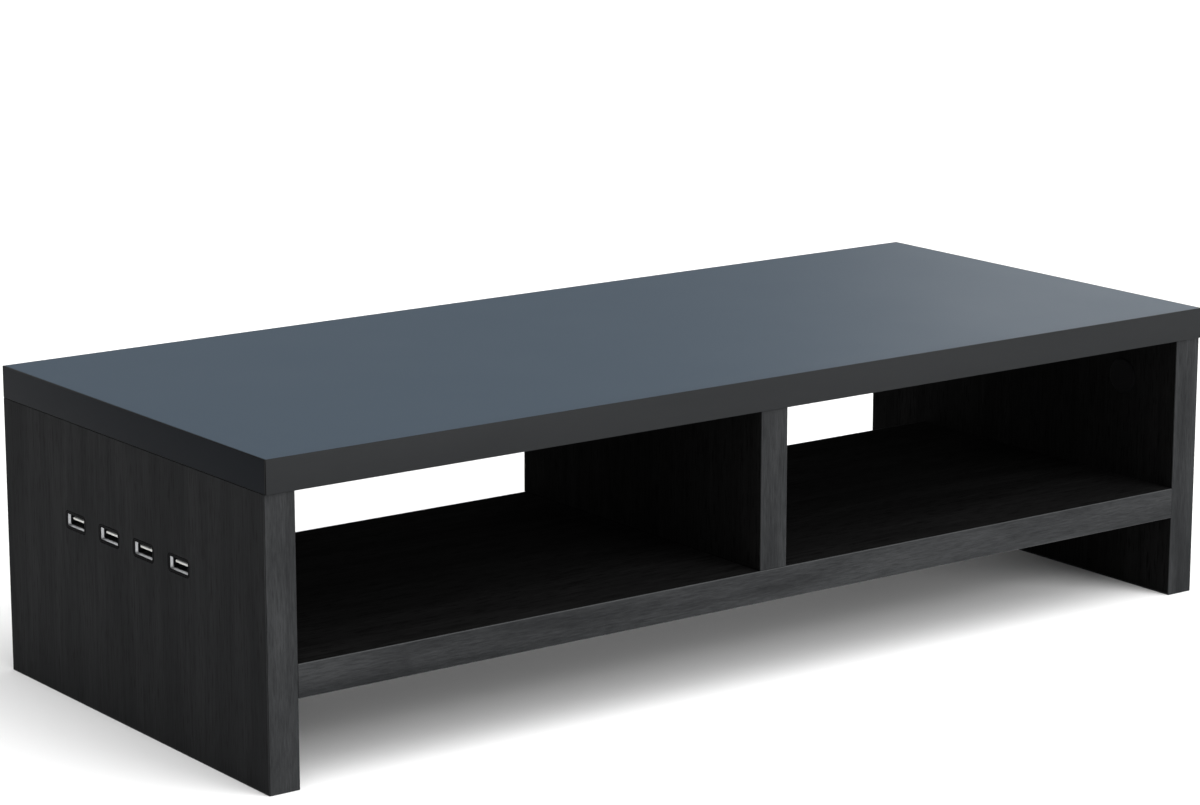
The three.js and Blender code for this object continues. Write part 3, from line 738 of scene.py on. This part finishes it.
def mesh_piece(name: str, vertices: Array, faces: Faces) -> Piece:
    """Makes a smooth mesh object at the origin, with its faces pointing out.

    Args:
        name: The piece's name.
        vertices: Points of shape (n, 3), in metres, in the row frame.
        faces: Faces as tuples of vertex numbers.

    Returns:
        The new object, in the scene.
    """
    if signed_volume(vertices, faces) < 0:
        faces = [face[::-1] for face in faces]
    mesh = bpy.data.meshes.new(name)
    mesh.from_pydata(vertices.tolist(), [], faces)
    mesh.polygons.foreach_set("use_smooth", np.ones(len(faces), bool))
    mesh.update()
    return put(name, mesh)


def merged_copy(node: str, name: str) -> Piece:
    """Copies a CAD node's mesh into a new object, with its loose triangles joined into whole flat faces.

    Args:
        node: The CAD node.
        name: The new object's name.

    Returns:
        The new object, in the scene and with no material.
    """
    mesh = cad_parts[node].data.copy()
    mesh.name = name
    mesh.materials.clear()
    work = bmesh.new()
    work.from_mesh(mesh)
    bmesh.ops.remove_doubles(work, verts=work.verts, dist=POINT)
    bmesh.ops.dissolve_limit(work, angle_limit=np.radians(1), verts=work.verts, edges=work.edges)
    work.to_mesh(mesh)
    work.free()
    mesh.polygons.foreach_set("use_smooth", np.ones(len(mesh.polygons), bool))
    return put(name, mesh)


def sharpen(piece: Piece, degrees: float = 40.0) -> None:
    """Marks every edge sharper than an angle, so that flat faces next to a rounding shade flat."""
    piece.data.set_sharp_from_angle(angle=np.radians(degrees))


def break_edges(piece: Piece, width_mm: float, by_weight: bool = False, material: int = -1) -> None:
    """Rounds a piece's edges with a live bevel.

    Args:
        piece: The object.
        width_mm: The bevel's width at full weight.
        by_weight: Whether each edge's weight sets its share of the width; otherwise every sharp edge is rounded.
        material: The number of the rounding's material, or -1 for that of the faces beside it.
    """
    bevel = piece.modifiers.new("broken_edges", "BEVEL")
    bevel.width = width_mm * MM
    bevel.segments = 3
    bevel.limit_method = "WEIGHT" if by_weight else "ANGLE"
    bevel.angle_limit = np.radians(40)
    bevel.harden_normals = True
    bevel.material = material


def finish_piece(piece: Piece, finishes: list[Finish], *nodes: str) -> None:
    """Gives a piece its materials, sets it riding, and lets it stand for its CAD nodes.

    Args:
        piece: The finished object.
        finishes: Its finishes, in the order of its material numbers.
        nodes: The CAD nodes that it stands for.
    """
    for finish in finishes:
        piece.data.materials.append(finish.material())
    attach(piece, BODY)
    if nodes:
        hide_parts(*nodes)
    log.info("%s: %d faces, %s", piece.name, len(piece.data.polygons), ", ".join(f.title for f in finishes))


def turned_piece(name: str, rings: Array, finish: Finish, node: str) -> None:
    """Makes a piece of one finish from rings that close at both ends.

    Args:
        name: The piece's name.
        rings: Points of shape (rings, points, 3).
        finish: Its finish.
        node: The CAD node that it stands for.
    """
    piece = mesh_piece(name, *loft(rings))
    sharpen(piece)
    finish_piece(piece, [finish], node)


def moulded_piece(node: str, finish: Finish, break_mm: float) -> None:
    """Makes a moulded or cast piece from a merged copy of its CAD node, with every sharp edge rounded.

    Args:
        node: The CAD node.
        finish: Its finish.
        break_mm: The rounding's width.
    """
    piece = merged_copy(node, node + "_piece")
    sharpen(piece)
    break_edges(piece, break_mm)
    finish_piece(piece, [finish], node)


def repaint(node: str, finish: Finish) -> None:
    """Gives a CAD node that stays as it is a better material."""
    for material_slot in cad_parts[node].material_slots:
        material_slot.material = finish.material()
    log.info("%s: kept, %s", node, finish.title)


def read_all(items: bpy.types.bpy_prop_collection, name: str, width: int = 1, kind: type = float) -> Array:
    """Reads a property of all the vertices, edges, loops or faces of a mesh.

    Args:
        items: The vertices, edges, loops or faces.
        name: The property.
        width: How many numbers it has.
        kind: The type of the numbers.

    Returns:
        Values of shape (n, width), or (n,) for a width of one.
    """
    values = np.empty(len(items) * width, kind)
    items.foreach_get(name, values)
    return values.reshape(-1, width) if width > 1 else values


# ---- boards and bands
OUTWARD = {"front": (0, -1, 0), "back": (0, 1, 0), "left": (-1, 0, 0), "right": (1, 0, 0), "bottom": (0, 0, -1)}


@dataclass
class EdgeBand:
    """A strip of edge band: a flat back glued to the board and two rounded arrises in front.

    Its section is a rectangle whose two outer corners are quarter circles, carried along the strip, and its two
    ends are rounded the same way.
    """

    node: str
    outward: tuple[int, int, int]
    kind: Band
    arris_mm: float = 0.4
    steps: int = 5

    def build(self) -> None:
        """Builds the strip round its CAD node's box."""
        low, high = box_corners(self.node)
        thin = int(np.argmax(np.abs(self.outward)))
        long = max((axis for axis in range(3) if axis != thin), key=lambda axis: high[axis] - low[axis])
        radius = self.arris_mm * MM
        out = np.array([self.outward[(long + 1) % 3], self.outward[(long + 2) % 3]])
        signs = ((1, 1), (-1, 1), (-1, -1), (1, -1))
        radii = tuple(radius if np.dot(sign, out) > 0 else POINT for sign in signs)
        drawn = np.concatenate([np.where(out > 0, 0, 1), np.where(out < 0, 0, 1)])
        rings = rounded_bar(low, high, radii, drawn, radius, long, self.steps)
        piece = mesh_piece(self.node + "_strip", *loft(rings))
        self.mark_arris(piece, np.array(radii) > radius / 2)
        sharpen(piece)
        finish_piece(piece, [band_finish(self.kind, Grain(long))], self.node)

    def mark_arris(self, piece: Piece, rounded: Array) -> None:
        """Writes the arris attribute, which peaks in the middle of a rounding and is 0 on the flats.

        The kind of band says how high it peaks along the strip and how high at its ends.

        Args:
            piece: The strip.
            rounded: Which of the section's four corners are rounded.
        """
        bow = np.sin(np.linspace(0, np.pi, self.steps + 1))
        side_share, end_share = self.kind.arris_shares
        around = side_share * (rounded[:, None] * bow[None, :]).ravel()
        along = end_share * np.concatenate([bow, bow[::-1]])
        value = np.maximum(along[:, None], around[None, :]).ravel()
        values = np.concatenate([value, np.zeros(len(piece.data.vertices) - len(value))])
        attribute = piece.data.attributes.new("arris", "FLOAT", "POINT")
        attribute.data.foreach_set("value", values.astype(np.float32))


@dataclass
class Board:
    """A board cut from melamine-faced particleboard, with the CAD's own bores, broken arrises and its edge bands.

    Its panel is the node name_panel and its bands are the nodes name_edge_band. The first face is the one that
    looks along +X or +Z. In the windows, which are the boxes of CAD nodes and a margin, the cut edges are dark.
    """

    name: str
    faces: tuple[Finish, Finish]
    bands: dict[str, Band]
    break_mm: float = 0.35
    beside_band: Rim = Rim.BESIDE_BAND
    windows: tuple[str, ...] = ()
    window_margin_mm: float = 1.6

    def build(self) -> None:
        """Builds the panel from a copy of its CAD node, and then its bands."""
        node = self.name + "_panel"
        piece = merged_copy(node, node + "_board")
        low, high = box_corners(node)
        self.paint_faces(piece.data, low, high)
        self.weigh_arrises(piece.data, low, high)
        sharpen(piece)
        # The rounded arrises take material 3, near black: painted shade along the seams between boards and bands.
        break_edges(piece, self.break_mm, by_weight=True, material=3)
        finish_piece(piece, [*self.faces, CHIPBOARD, SEAM_SHADE], node)
        for edge, kind in self.bands.items():
            EdgeBand(f"{self.name}_{edge}_band", OUTWARD[edge], kind).build()

    def in_windows(self, points: Array) -> Array:
        """Tells which points lie in one of the windows.

        Args:
            points: Points of shape (..., 3).

        Returns:
            A flag for each point.
        """
        margin = self.window_margin_mm * MM
        flags = np.zeros(points.shape[:-1], bool)
        for node in self.windows:
            low, high = box_corners(node)
            flags |= np.all((points > low - margin) & (points < high + margin), axis=-1)
        return flags

    def paint_faces(self, mesh: bpy.types.Mesh, low: Array, high: Array) -> None:
        """Numbers each face's material: 0 and 1 for the laminates, 2 for the bores, 3 (near black) for the ends and
        dark cuts.

        A face lies on the board's outside when its middle is on the box and its normal points out of it.

        Args:
            mesh: The board's mesh.
            low: The box's lowest corner.
            high: Its highest corner.
        """
        middle, normal = read_all(mesh.polygons, "center", 3), read_all(mesh.polygons, "normal", 3)
        thin = int(np.argmin(high - low))
        top = (np.abs(middle[:, thin] - high[thin]) < NEAR) & (normal[:, thin] > 0.9)
        bottom = (np.abs(middle[:, thin] - low[thin]) < NEAR) & (normal[:, thin] < -0.9)
        outside = np.any((np.abs(middle - low) < NEAR) | (np.abs(middle - high) < NEAR), axis=1)
        dark = outside | self.in_windows(middle)
        number = np.select([top, bottom, dark], [0, 1, 3], 2)
        mesh.polygons.foreach_set("material_index", number.astype(np.int32))

    def weigh_arrises(self, mesh: bpy.types.Mesh, low: Array, high: Array) -> None:
        """Gives each edge its bevel weight: full on a bare arris, less beside a band, half round a bore.

        An edge counts when its faces meet at more than 60 degrees and it lies on the outside of the box.

        Args:
            mesh: The board's mesh.
            low: The box's lowest corner.
            high: Its highest corner.
        """
        ends = read_all(mesh.vertices, "co", 3)[read_all(mesh.edges, "vertices", 2, np.int32)]
        on_low = np.all(np.abs(ends - low) < NEAR, axis=1)
        on_high = np.all(np.abs(ends - high) < NEAR, axis=1)
        planes = on_low.sum(axis=1) + on_high.sum(axis=1)
        weight = np.select([planes == 2, planes == 1], [Rim.BARE.value, Rim.BORE.value], 0.0)
        for edge in self.bands:
            axis = int(np.argmax(np.abs(OUTWARD[edge])))
            weight[(on_high if OUTWARD[edge][axis] > 0 else on_low)[:, axis]] = self.beside_band.value
        weight[np.all(self.in_windows(ends), axis=1) | ~self.sharp_edges(mesh)] = 0.0
        attribute = mesh.attributes.new("bevel_weight_edge", "FLOAT", "EDGE")
        attribute.data.foreach_set("value", weight.astype(np.float32))

    def sharp_edges(self, mesh: bpy.types.Mesh) -> Array:
        """Tells which edges join two faces at more than 60 degrees.

        Args:
            mesh: The board's mesh.

        Returns:
            One flag for each edge.
        """
        normals = read_all(mesh.polygons, "normal", 3)
        loop_edge = read_all(mesh.loops, "edge_index", kind=np.int32)
        totals = read_all(mesh.polygons, "loop_total", kind=np.int32)
        face = np.repeat(np.arange(len(totals)), totals)
        order = np.argsort(loop_edge, kind="stable")
        edges, first, uses = np.unique(loop_edge[order], return_index=True, return_counts=True)
        paired = uses == 2
        one, two = face[order][first[paired]], face[order][first[paired] + 1]
        flags = np.zeros(len(mesh.edges), bool)
        flags[edges[paired]] = np.einsum("ij,ij->i", normals[one], normals[two]) < 0.5
        return flags


@dataclass
class Carcass:
    """The five boards: a slate top on two sides, a shelf between the sides, and a divider on the shelf.

    Outside, the sides are black ash. Every inner face is a darker black, painted as the shade in the bays. The left
    side has the sockets' windows.
    """

    side_break_mm: float = 0.8
    windows: tuple[str, ...] = ("port_shell_1", "port_shell_2", "port_shell_3", "port_shell_4")

    def build(self) -> None:
        """Builds the boards with their bands."""
        # across and upright are the inner laminate, painted darker as the shade in the bays
        across, upright, outer = matt_shaded_ash(Grain.ALONG_X), matt_shaded_ash(Grain.ALONG_Z), ash(Grain.ALONG_Z)
        top_bands = {"front": Band.FACE, "back": Band.FACE, "left": Band.RETURN, "right": Band.RETURN}
        left_bands = dict.fromkeys(("front", "back", "bottom"), Band.OUTER_UPRIGHT)
        right_bands = dict.fromkeys(("front", "back", "bottom"), Band.UPRIGHT)
        rails, posts = (dict.fromkeys(("front", "back"), kind) for kind in (Band.RAIL, Band.UPRIGHT))
        Board("top", (SLATE, across), top_bands, beside_band=Rim.BESIDE_FLUSH_BAND).build()
        Board("left_side", (upright, outer), left_bands, self.side_break_mm, windows=self.windows).build()
        Board("right_side", (outer, upright), right_bands, self.side_break_mm).build()
        Board("shelf", (across, across), rails).build()
        Board("divider", (upright, upright), posts).build()


# ---- fittings
@dataclass
class Fittings:
    """The cams, bolts, caps, dowels and screws that hold the boards together."""

    rows: tuple[str, ...] = ("front", "back")
    cam_break_mm: float = 0.25
    cap_rim_mm: float = 0.7
    cap_proud_mm: float = 0.9
    cap_plug_inset_mm: float = 1.6
    cap_skirt: float = 0.3  # shares of the cap's height: its straight skirt, its rounded rim and its flat dome
    cap_round: float = 0.55
    cap_crown: float = 0.15
    socket_mm: float = 1.85
    socket_depth_mm: float = 2.6
    chamfer_mm: float = 0.25
    shank_share: float = 0.64  # shares of the head's radius
    core_share: float = 0.46
    neck_mm: float = 3.0
    thread_start_mm: float = 18.0
    thread_spare_mm: float = 21.0  # the screw's length less that of its thread
    thread_pitch_mm: float = 3.0
    tip_mm: float = 2.0

    def build(self) -> None:
        """Builds the cams, caps and screws, and repaints the pieces that the boards hide."""
        for node in sorted(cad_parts):
            if node.startswith("dowel"):
                repaint(node, BEECH)
            elif "cam_bolt" in node or node.startswith(("top_cam_left", "top_cam_right")):
                repaint(node, ZINC)
        for row in self.rows:
            self.board_screw(row)
            for side, inward in (("left", 1), ("right", -1)):
                moulded_piece(f"shelf_cam_{side}_{row}", ZINC, self.cam_break_mm)
                self.cap(f"{side}_{row}", inward)

    def cap(self, place: str, inward: int) -> None:
        """Builds a moulded cap: a shallow dome with a soft rim, on a plug that fills the cam's bore.

        Args:
            place: The side and row that name its node.
            inward: 1 where the cap faces +X, -1 where it faces -X.
        """
        node = "top_cam_cap_" + place
        low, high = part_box(node)
        radius, proud = (high.y - low.y) / 2 / MM, self.cap_proud_mm
        plug, stem = (high.x - low.x) / MM - proud, radius - self.cap_plug_inset_mm
        skirt, bulge = proud * self.cap_skirt, proud * self.cap_round
        turns = np.linspace(0, np.pi / 2, 6)
        rim = [(radius - self.cap_rim_mm * (1 - np.cos(t)), skirt + bulge * np.sin(t)) for t in turns]
        dome = [(radius * share, proud - proud * self.cap_crown * share**2) for share in (0.8, 0.6, 0.4, 0.2, 0.05)]
        profile = [(2 * PIN_MM, -plug), (stem, -plug), (stem, 0.0), (radius, 0.0), *rim, *dome]
        middle = (low + high) / 2
        face_x = (low.x if inward > 0 else high.x) + inward * plug * MM
        rings = facing(revolve(profile, 72), (inward, 0, 0), (face_x, middle.y, middle.z))
        turned_piece("cam_cap_" + place, rings, MATT_BLACK_ABS, node)

    def board_screw(self, row: str) -> None:
        """Builds a board screw: a sunk head with a hexagonal socket, a smooth shank and thread ridges.

        Args:
            row: The row that names its node.
        """
        node = "divider_screw_" + row
        low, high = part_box(node)
        length, head = (high.z - low.z) / MM, (high.x - low.x) / 2 / MM
        shank, core = head * self.shank_share, head * self.core_share
        turns = int((length - self.thread_spare_mm) / self.thread_pitch_mm)
        thread = [
            (radius, self.thread_start_mm + self.thread_pitch_mm * (turn + share))
            for turn in range(turns)
            for radius, share in ((core, 0.15), (core, 0.35), (shank, 0.6), (core, 0.85))
        ]
        socket, deep, lip = self.socket_mm, self.socket_depth_mm, self.chamfer_mm
        face = [(PIN_MM, deep, hexagon), (socket, deep, hexagon), (socket, lip, hexagon), (socket + lip, 0.0, hexagon)]
        rim = [(head - lip, 0.0), (head, 0.2), (head, 0.6)]
        shaft = [(shank, self.neck_mm), (shank, self.thread_start_mm)]
        profile = [*face, *rim, *shaft, *thread, (core, length - self.tip_mm), (PIN_MM, length)]
        middle = (low + high) / 2
        rings = revolve(profile) + np.array([middle.x, middle.y, low.z])
        turned_piece("board_screw_" + row, rings, ZINC, node)


# ---- data hub
@dataclass
class DataHub:
    """Four rectangular sockets in a row through the left side, and the hub box behind them."""

    sockets: int = 4
    wall_mm: float = 0.3
    corner_mm: float = 1.0
    flare_mm: Pair = (0.9, 0.65)
    flare_depth_mm: float = 1.5
    flare_rings: int = 7
    sprung_depth_mm: float = 7.0
    sprung_rings: int = 18
    shaded_rings: int = 2  # how many rings of the flare, from its deep end, have the dark inner skin painted as shade
    steps: int = 6
    spring_mm: float = 0.35
    spring_size_mm: Pair = (2.2, 0.9)
    spring_places_mm: Pair = (3.2, 3.4)
    blade_half_mm: float = 5.8
    blade_thick_mm: float = 1.15
    blade_short_mm: float = 1.0
    blade_round_mm: Pair = (0.3, 0.3)
    holder_mm: float = 2.6
    holder_round_mm: Pair = (0.4, 0.2)
    contact_count: int = 4
    contact_pitch_mm: float = 2.3
    contact_start_mm: float = 1.1
    contact_size_mm: Triple = (7.5, 1.1, 0.12)
    contact_round_mm: Pair = (0.05, 0.05)
    screw_recess_mm: float = 1.2
    screw_dome_mm: float = 1.3
    screw_dome_start: float = 0.5  # radians from the screw's axis
    screw_head_mm: float = 2.0
    screw_arm_share: float = 0.58  # shares of the head's radius
    screw_shank_share: float = 0.48

    def build(self) -> None:
        """Builds the sockets and the hub's box, screws and board."""
        for number in range(1, self.sockets + 1):
            self.shell(number)
            self.tongue(number)
        moulded_piece("hub_cover", BLACK_ABS, 0.6)
        moulded_piece("hub_base_plate", MATT_BLACK_ABS, 0.16)
        moulded_piece("hub_inlet_socket", SOCKET_STEEL, 0.08)
        repaint("hub_circuit_board", SOLDER_MASK)
        for row in ("front", "back"):
            self.cover_screw(row)

    def shell(self, number: int) -> None:
        """Builds a socket's shell: a rounded rectangular tube with a flared mouth and two springs in each broad side.

        Rings go in along the outside and come back along the inside. At a depth d inside the flare each half size is
        its mouth's less the flare times sin(pi d / 2 D), where D is the flare's depth.

        Args:
            number: The socket's number, from 1 at the front.
        """
        node = f"port_shell_{number}"
        low, high = box_corners(node)
        middle, half = (low[1:] + high[1:]) / 2, (high[1:] - low[1:]) / 2
        flare = np.linspace(0, self.flare_depth_mm * MM, self.flare_rings)
        sprung = np.linspace(self.flare_depth_mm * MM, self.sprung_depth_mm * MM, self.sprung_rings)[1:]
        depth = np.concatenate([flare, sprung, [high[0] - low[0]]])
        skins = []
        for less, order in ((0.0, 1), (self.wall_mm * MM, -1)):
            for deep in depth[::order]:
                drawn = np.sin(np.pi / 2 * min(deep / flare[-1], 1.0)) * np.array(self.flare_mm) * MM
                inset = less + drawn
                corners = (self.corner_mm * MM - less,) * 4
                outline = corner_outline(middle - half + inset, middle + half - inset, corners, self.steps)
                skins.append(np.column_stack([np.full(len(outline), low[0] + deep), outline]))
        tube_half = half - np.array(self.flare_mm) * MM
        rings = self.with_springs(self.denser(np.array(skins)), low[0], middle, tube_half)
        count, size = rings.shape[:2]
        piece = mesh_piece(f"socket_shell_{number}", rings.reshape(-1, 3), ring_quads(count, size, closed=True))
        sharpen(piece, 50)
        finish_piece(piece, [SOCKET_STEEL, SHADED_STEEL], node)
        # The inner skin past the flare gets the dark steel: painted shade inside the socket.
        ring = np.repeat(np.arange(count), size)
        shaded = (ring >= len(depth) - 1) & (ring < 2 * len(depth) - len(flare) + self.shaded_rings)
        piece.data.polygons.foreach_set("material_index", shaded.astype(np.int32))

    def denser(self, rings: Array, extra: int = 11) -> Array:
        """Adds points along the two broad sides of each ring, so that the springs have something to bend.

        Args:
            rings: Points of shape (rings, 4 * (steps + 1), 3).
            extra: Points added in each broad side.

        Returns:
            The rings with their new points.
        """
        quarter = self.steps + 1
        share = np.linspace(0, 1, extra + 2)[1:-1][None, :, None]
        parts = []
        for corner in range(4):
            parts.append(rings[:, corner * quarter : (corner + 1) * quarter])
            if corner % 2 == 0:
                start, end = rings[:, (corner + 1) * quarter - 1], rings[:, (corner + 1) * quarter]
                parts.append(start[:, None] * (1 - share) + end[:, None] * share)
        return np.concatenate(parts, axis=1)

    def with_springs(self, rings: Array, mouth: float, middle: Array, half: Array) -> Array:
        """Presses the springs into the broad sides.

        Both skins move inward at a spring by its height times exp(-(x / a)^2 - (y / b)^2), where x and y are
        measured from its middle.

        Args:
            rings: Points of shape (rings, points, 3).
            mouth: The X of the shell's mouth.
            middle: The tube's middle in Y and Z.
            half: Its half sizes in Y and Z.

        Returns:
            The moved points.
        """
        long, wide = (size * MM for size in self.spring_size_mm)
        place_x, place_y = (place * MM for place in self.spring_places_mm)
        deep = ((rings[..., 0] - mouth - place_x) / long) ** 2
        aside = ((np.abs(rings[..., 1] - middle[0]) - place_y) / wide) ** 2
        height = rings[..., 2] - middle[1]
        broad = np.abs(height) > half[1] - 0.5 * MM
        moved = rings.copy()
        moved[..., 2] -= np.sign(height) * broad * self.spring_mm * MM * np.exp(-deep - aside)
        return moved

    def bar(self, low: list[float], high: list[float], round_mm: Pair) -> Surface:
        """A bar along X between two corners, with round_mm giving the radii of its long edges and its ends."""
        edge, end = round_mm[0] * MM, round_mm[1] * MM
        return loft(rounded_bar(np.array(low), np.array(high), (edge,) * 4, np.ones(4), end, 0))

    def tongue(self, number: int) -> None:
        """Builds a socket's tongue with its holding block, and the contacts that lie under the tongue.

        Args:
            number: The socket's number, from 1 at the front.
        """
        node = f"port_tongue_{number}"
        low, high = box_corners(node)
        shell_low, shell_high = box_corners(f"port_shell_{number}")
        middle, axis_z = (low[1] + high[1]) / 2, (shell_low[2] + shell_high[2]) / 2
        half, thick = self.blade_half_mm * MM, self.blade_thick_mm * MM
        blade_end = [high[0] - self.blade_short_mm * MM, middle + half, axis_z + thick]
        blade = self.bar([low[0], middle - half, axis_z], blade_end, self.blade_round_mm)
        holder = self.bar([high[0] - self.holder_mm * MM, low[1], low[2]], list(high), self.holder_round_mm)
        long, wide, thin = (size * MM for size in self.contact_size_mm)
        start = low[0] + self.contact_start_mm * MM
        contacts = []
        for index in range(self.contact_count):
            at = middle + (index - (self.contact_count - 1) / 2) * self.contact_pitch_mm * MM
            ends = [start, at - wide / 2, axis_z - thin], [start + long, at + wide / 2, axis_z + thin]
            contacts.append(self.bar(*ends, self.contact_round_mm))
        vertices, faces = joined(blade, holder, *contacts)
        piece = mesh_piece(f"socket_tongue_{number}", vertices, faces)
        finish_piece(piece, [WHITE_TONGUE, CONTACT_GOLD], node)
        gold = np.arange(len(faces)) >= len(blade[1]) + len(holder[1])
        piece.data.polygons.foreach_set("material_index", gold.astype(np.int32))
        sharpen(piece)

    def cover_screw(self, row: str) -> None:
        """Builds a screw of the hub's cover: a pan head with a cross recess, and its shank.

        Args:
            row: The row that names its node.
        """
        node = "hub_screw_" + row
        low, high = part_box(node)
        head, height = (high.y - low.y) / 2 / MM, (high.x - low.x) / MM
        arm, shank = head * self.screw_arm_share, head * self.screw_shank_share
        deep, rise, first = self.screw_recess_mm, self.screw_dome_mm, self.screw_dome_start
        recess = [(PIN_MM, -deep, cross), (arm * 0.7, 0.1 - deep, cross), (arm, -0.1, cross), (arm + 0.12, 0.0, cross)]
        turns = np.linspace(first, np.pi / 2, 6)
        dome = [(head * np.sin(turn), -rise + rise * np.cos(turn) / np.cos(first)) for turn in turns]
        stem = [(head, -self.screw_head_mm), (shank, -self.screw_head_mm), (shank, 1 - height), (PIN_MM, -height)]
        middle = (low + high) / 2
        rings = facing(revolve([*recess, *dome, *stem]), (1, 0, 0), (high.x, middle.y, middle.z))
        turned_piece("cover_screw_" + row, rings, ZINC, node)


# ---- studio
@dataclass
class Studio:
    """A pale floor, a wide sun, four softboxes, pale air at the horizon, and a long lens from the front left."""

    floor_m: float = 24.0
    floor_cells: int = 8
    sun_from: Triple = (0.15, -0.45, 0.88)
    sun_strength: float = 3.2
    sun_degrees: float = 70.0
    air_strength: float = 0.35
    pale_band: Pair = (0.03, 0.12)  # sines of the heights where the pale air starts and stops fading
    aim: Triple = (-0.0045, 0.0138, 0.1105)
    distance: float = 1.775
    azimuth: float = -36.45
    elevation: float = 12.66
    lens_mm: float = 110.95

    def build(self) -> None:
        """Builds the floor, the lights, the surrounding light and the camera."""
        self.floor()
        self.daylight()
        self.softbox("front_key", (1.3, -2.9, 0.9), 2.0, 82.0)
        self.softbox("back_sheen", (2.9, 2.2, 0.9), 1.2, 9.0)
        self.softbox("back_fill", (-1.0, 3.0, 1.5), 2.0, 34.0)
        self.softbox("left_fill", (-2.2, -1.6, 0.9), 1.0, 3.0)
        self.air()
        bpy.context.scene.view_settings.view_transform = "Standard"
        self.camera()

    def air(self) -> None:
        """Surrounds the stand with even grey light that turns pale just above the horizon, behind the floor's end."""
        world = bpy.data.worlds.new("studio_air")
        bpy.context.scene.world = world
        world.use_nodes = True
        tree = world.node_tree
        height = add_node(tree, "SeparateXYZ", {"Vector": add_node(tree, "TexCoord").outputs["Generated"]})
        low, high = self.pale_band
        fade = {"From Min": low, "From Max": high, "To Min": 1.0, "To Max": self.air_strength}
        glow = add_node(tree, "MapRange", {"Value": height.outputs["Z"], **fade})
        connect(tree.nodes["Background"], {"Color": (1.0, 1.0, 1.0, 1.0), "Strength": glow})

    def floor(self) -> None:
        """Makes the floor as a grid of points at the object's lowest height."""
        side = np.linspace(-self.floor_m / 2, self.floor_m / 2, self.floor_cells + 1)
        x, y = np.meshgrid(side, side, indexing="ij")
        points = np.stack([x, y, np.full_like(x, CAD_BOX[0][2])], axis=-1).reshape(-1, 3)
        r, c = np.meshgrid(np.arange(self.floor_cells), np.arange(self.floor_cells), indexing="ij")
        corner, row = (r * len(side) + c).ravel(), len(side)
        faces = np.stack([corner, corner + row, corner + row + 1, corner + 1], axis=-1)
        mesh = bpy.data.meshes.new("floor")
        mesh.from_pydata(points.tolist(), [], faces.tolist())
        floor = put("floor", mesh)
        floor.data.materials.append(FLOOR.material())

    def softbox(self, name: str, place: Triple, size: float, watts: float) -> None:
        """Adds a square area light that looks at the object.

        Args:
            name: The light's name.
            place: Where it hangs.
            size: Its side, in metres.
            watts: Its power.
        """
        data = bpy.data.lights.new(name, "AREA")
        data.size, data.energy = size, watts
        light = put(name, data)
        light.location = place
        light.rotation_euler = (-Vector(place)).to_track_quat("-Z", "Y").to_euler()

    def daylight(self) -> None:
        """Adds a wide, even light from overhead that keeps the whole floor pale."""
        data = bpy.data.lights.new("daylight", "SUN")
        data.energy, data.angle = self.sun_strength, np.radians(self.sun_degrees)
        light = put("daylight", data)
        light.rotation_euler = (-Vector(self.sun_from)).to_track_quat("-Z", "Y").to_euler()

    def camera(self) -> None:
        """Places the camera on the line through its aim at the set azimuth and elevation."""
        turn, lift = np.radians(self.azimuth), np.radians(self.elevation)
        back = Vector((np.sin(turn) * np.cos(lift), -np.cos(turn) * np.cos(lift), np.sin(lift)))
        data = bpy.data.cameras.new("camera")
        data.lens = self.lens_mm
        camera = put("camera", data)
        camera.location = Vector(self.aim) + back * self.distance
        camera.rotation_euler = (-back).to_track_quat("-Z", "Y").to_euler()
        bpy.context.scene.camera = camera


def main() -> None:
    """Builds the studio and then the stand, from the boards inwards."""
    logging.basicConfig(level=logging.INFO, format="%(name)s %(message)s")
    Studio().build()
    Carcass().build()
    Fittings().build()
    DataHub().build()


if __name__ == "__main__":
    main()
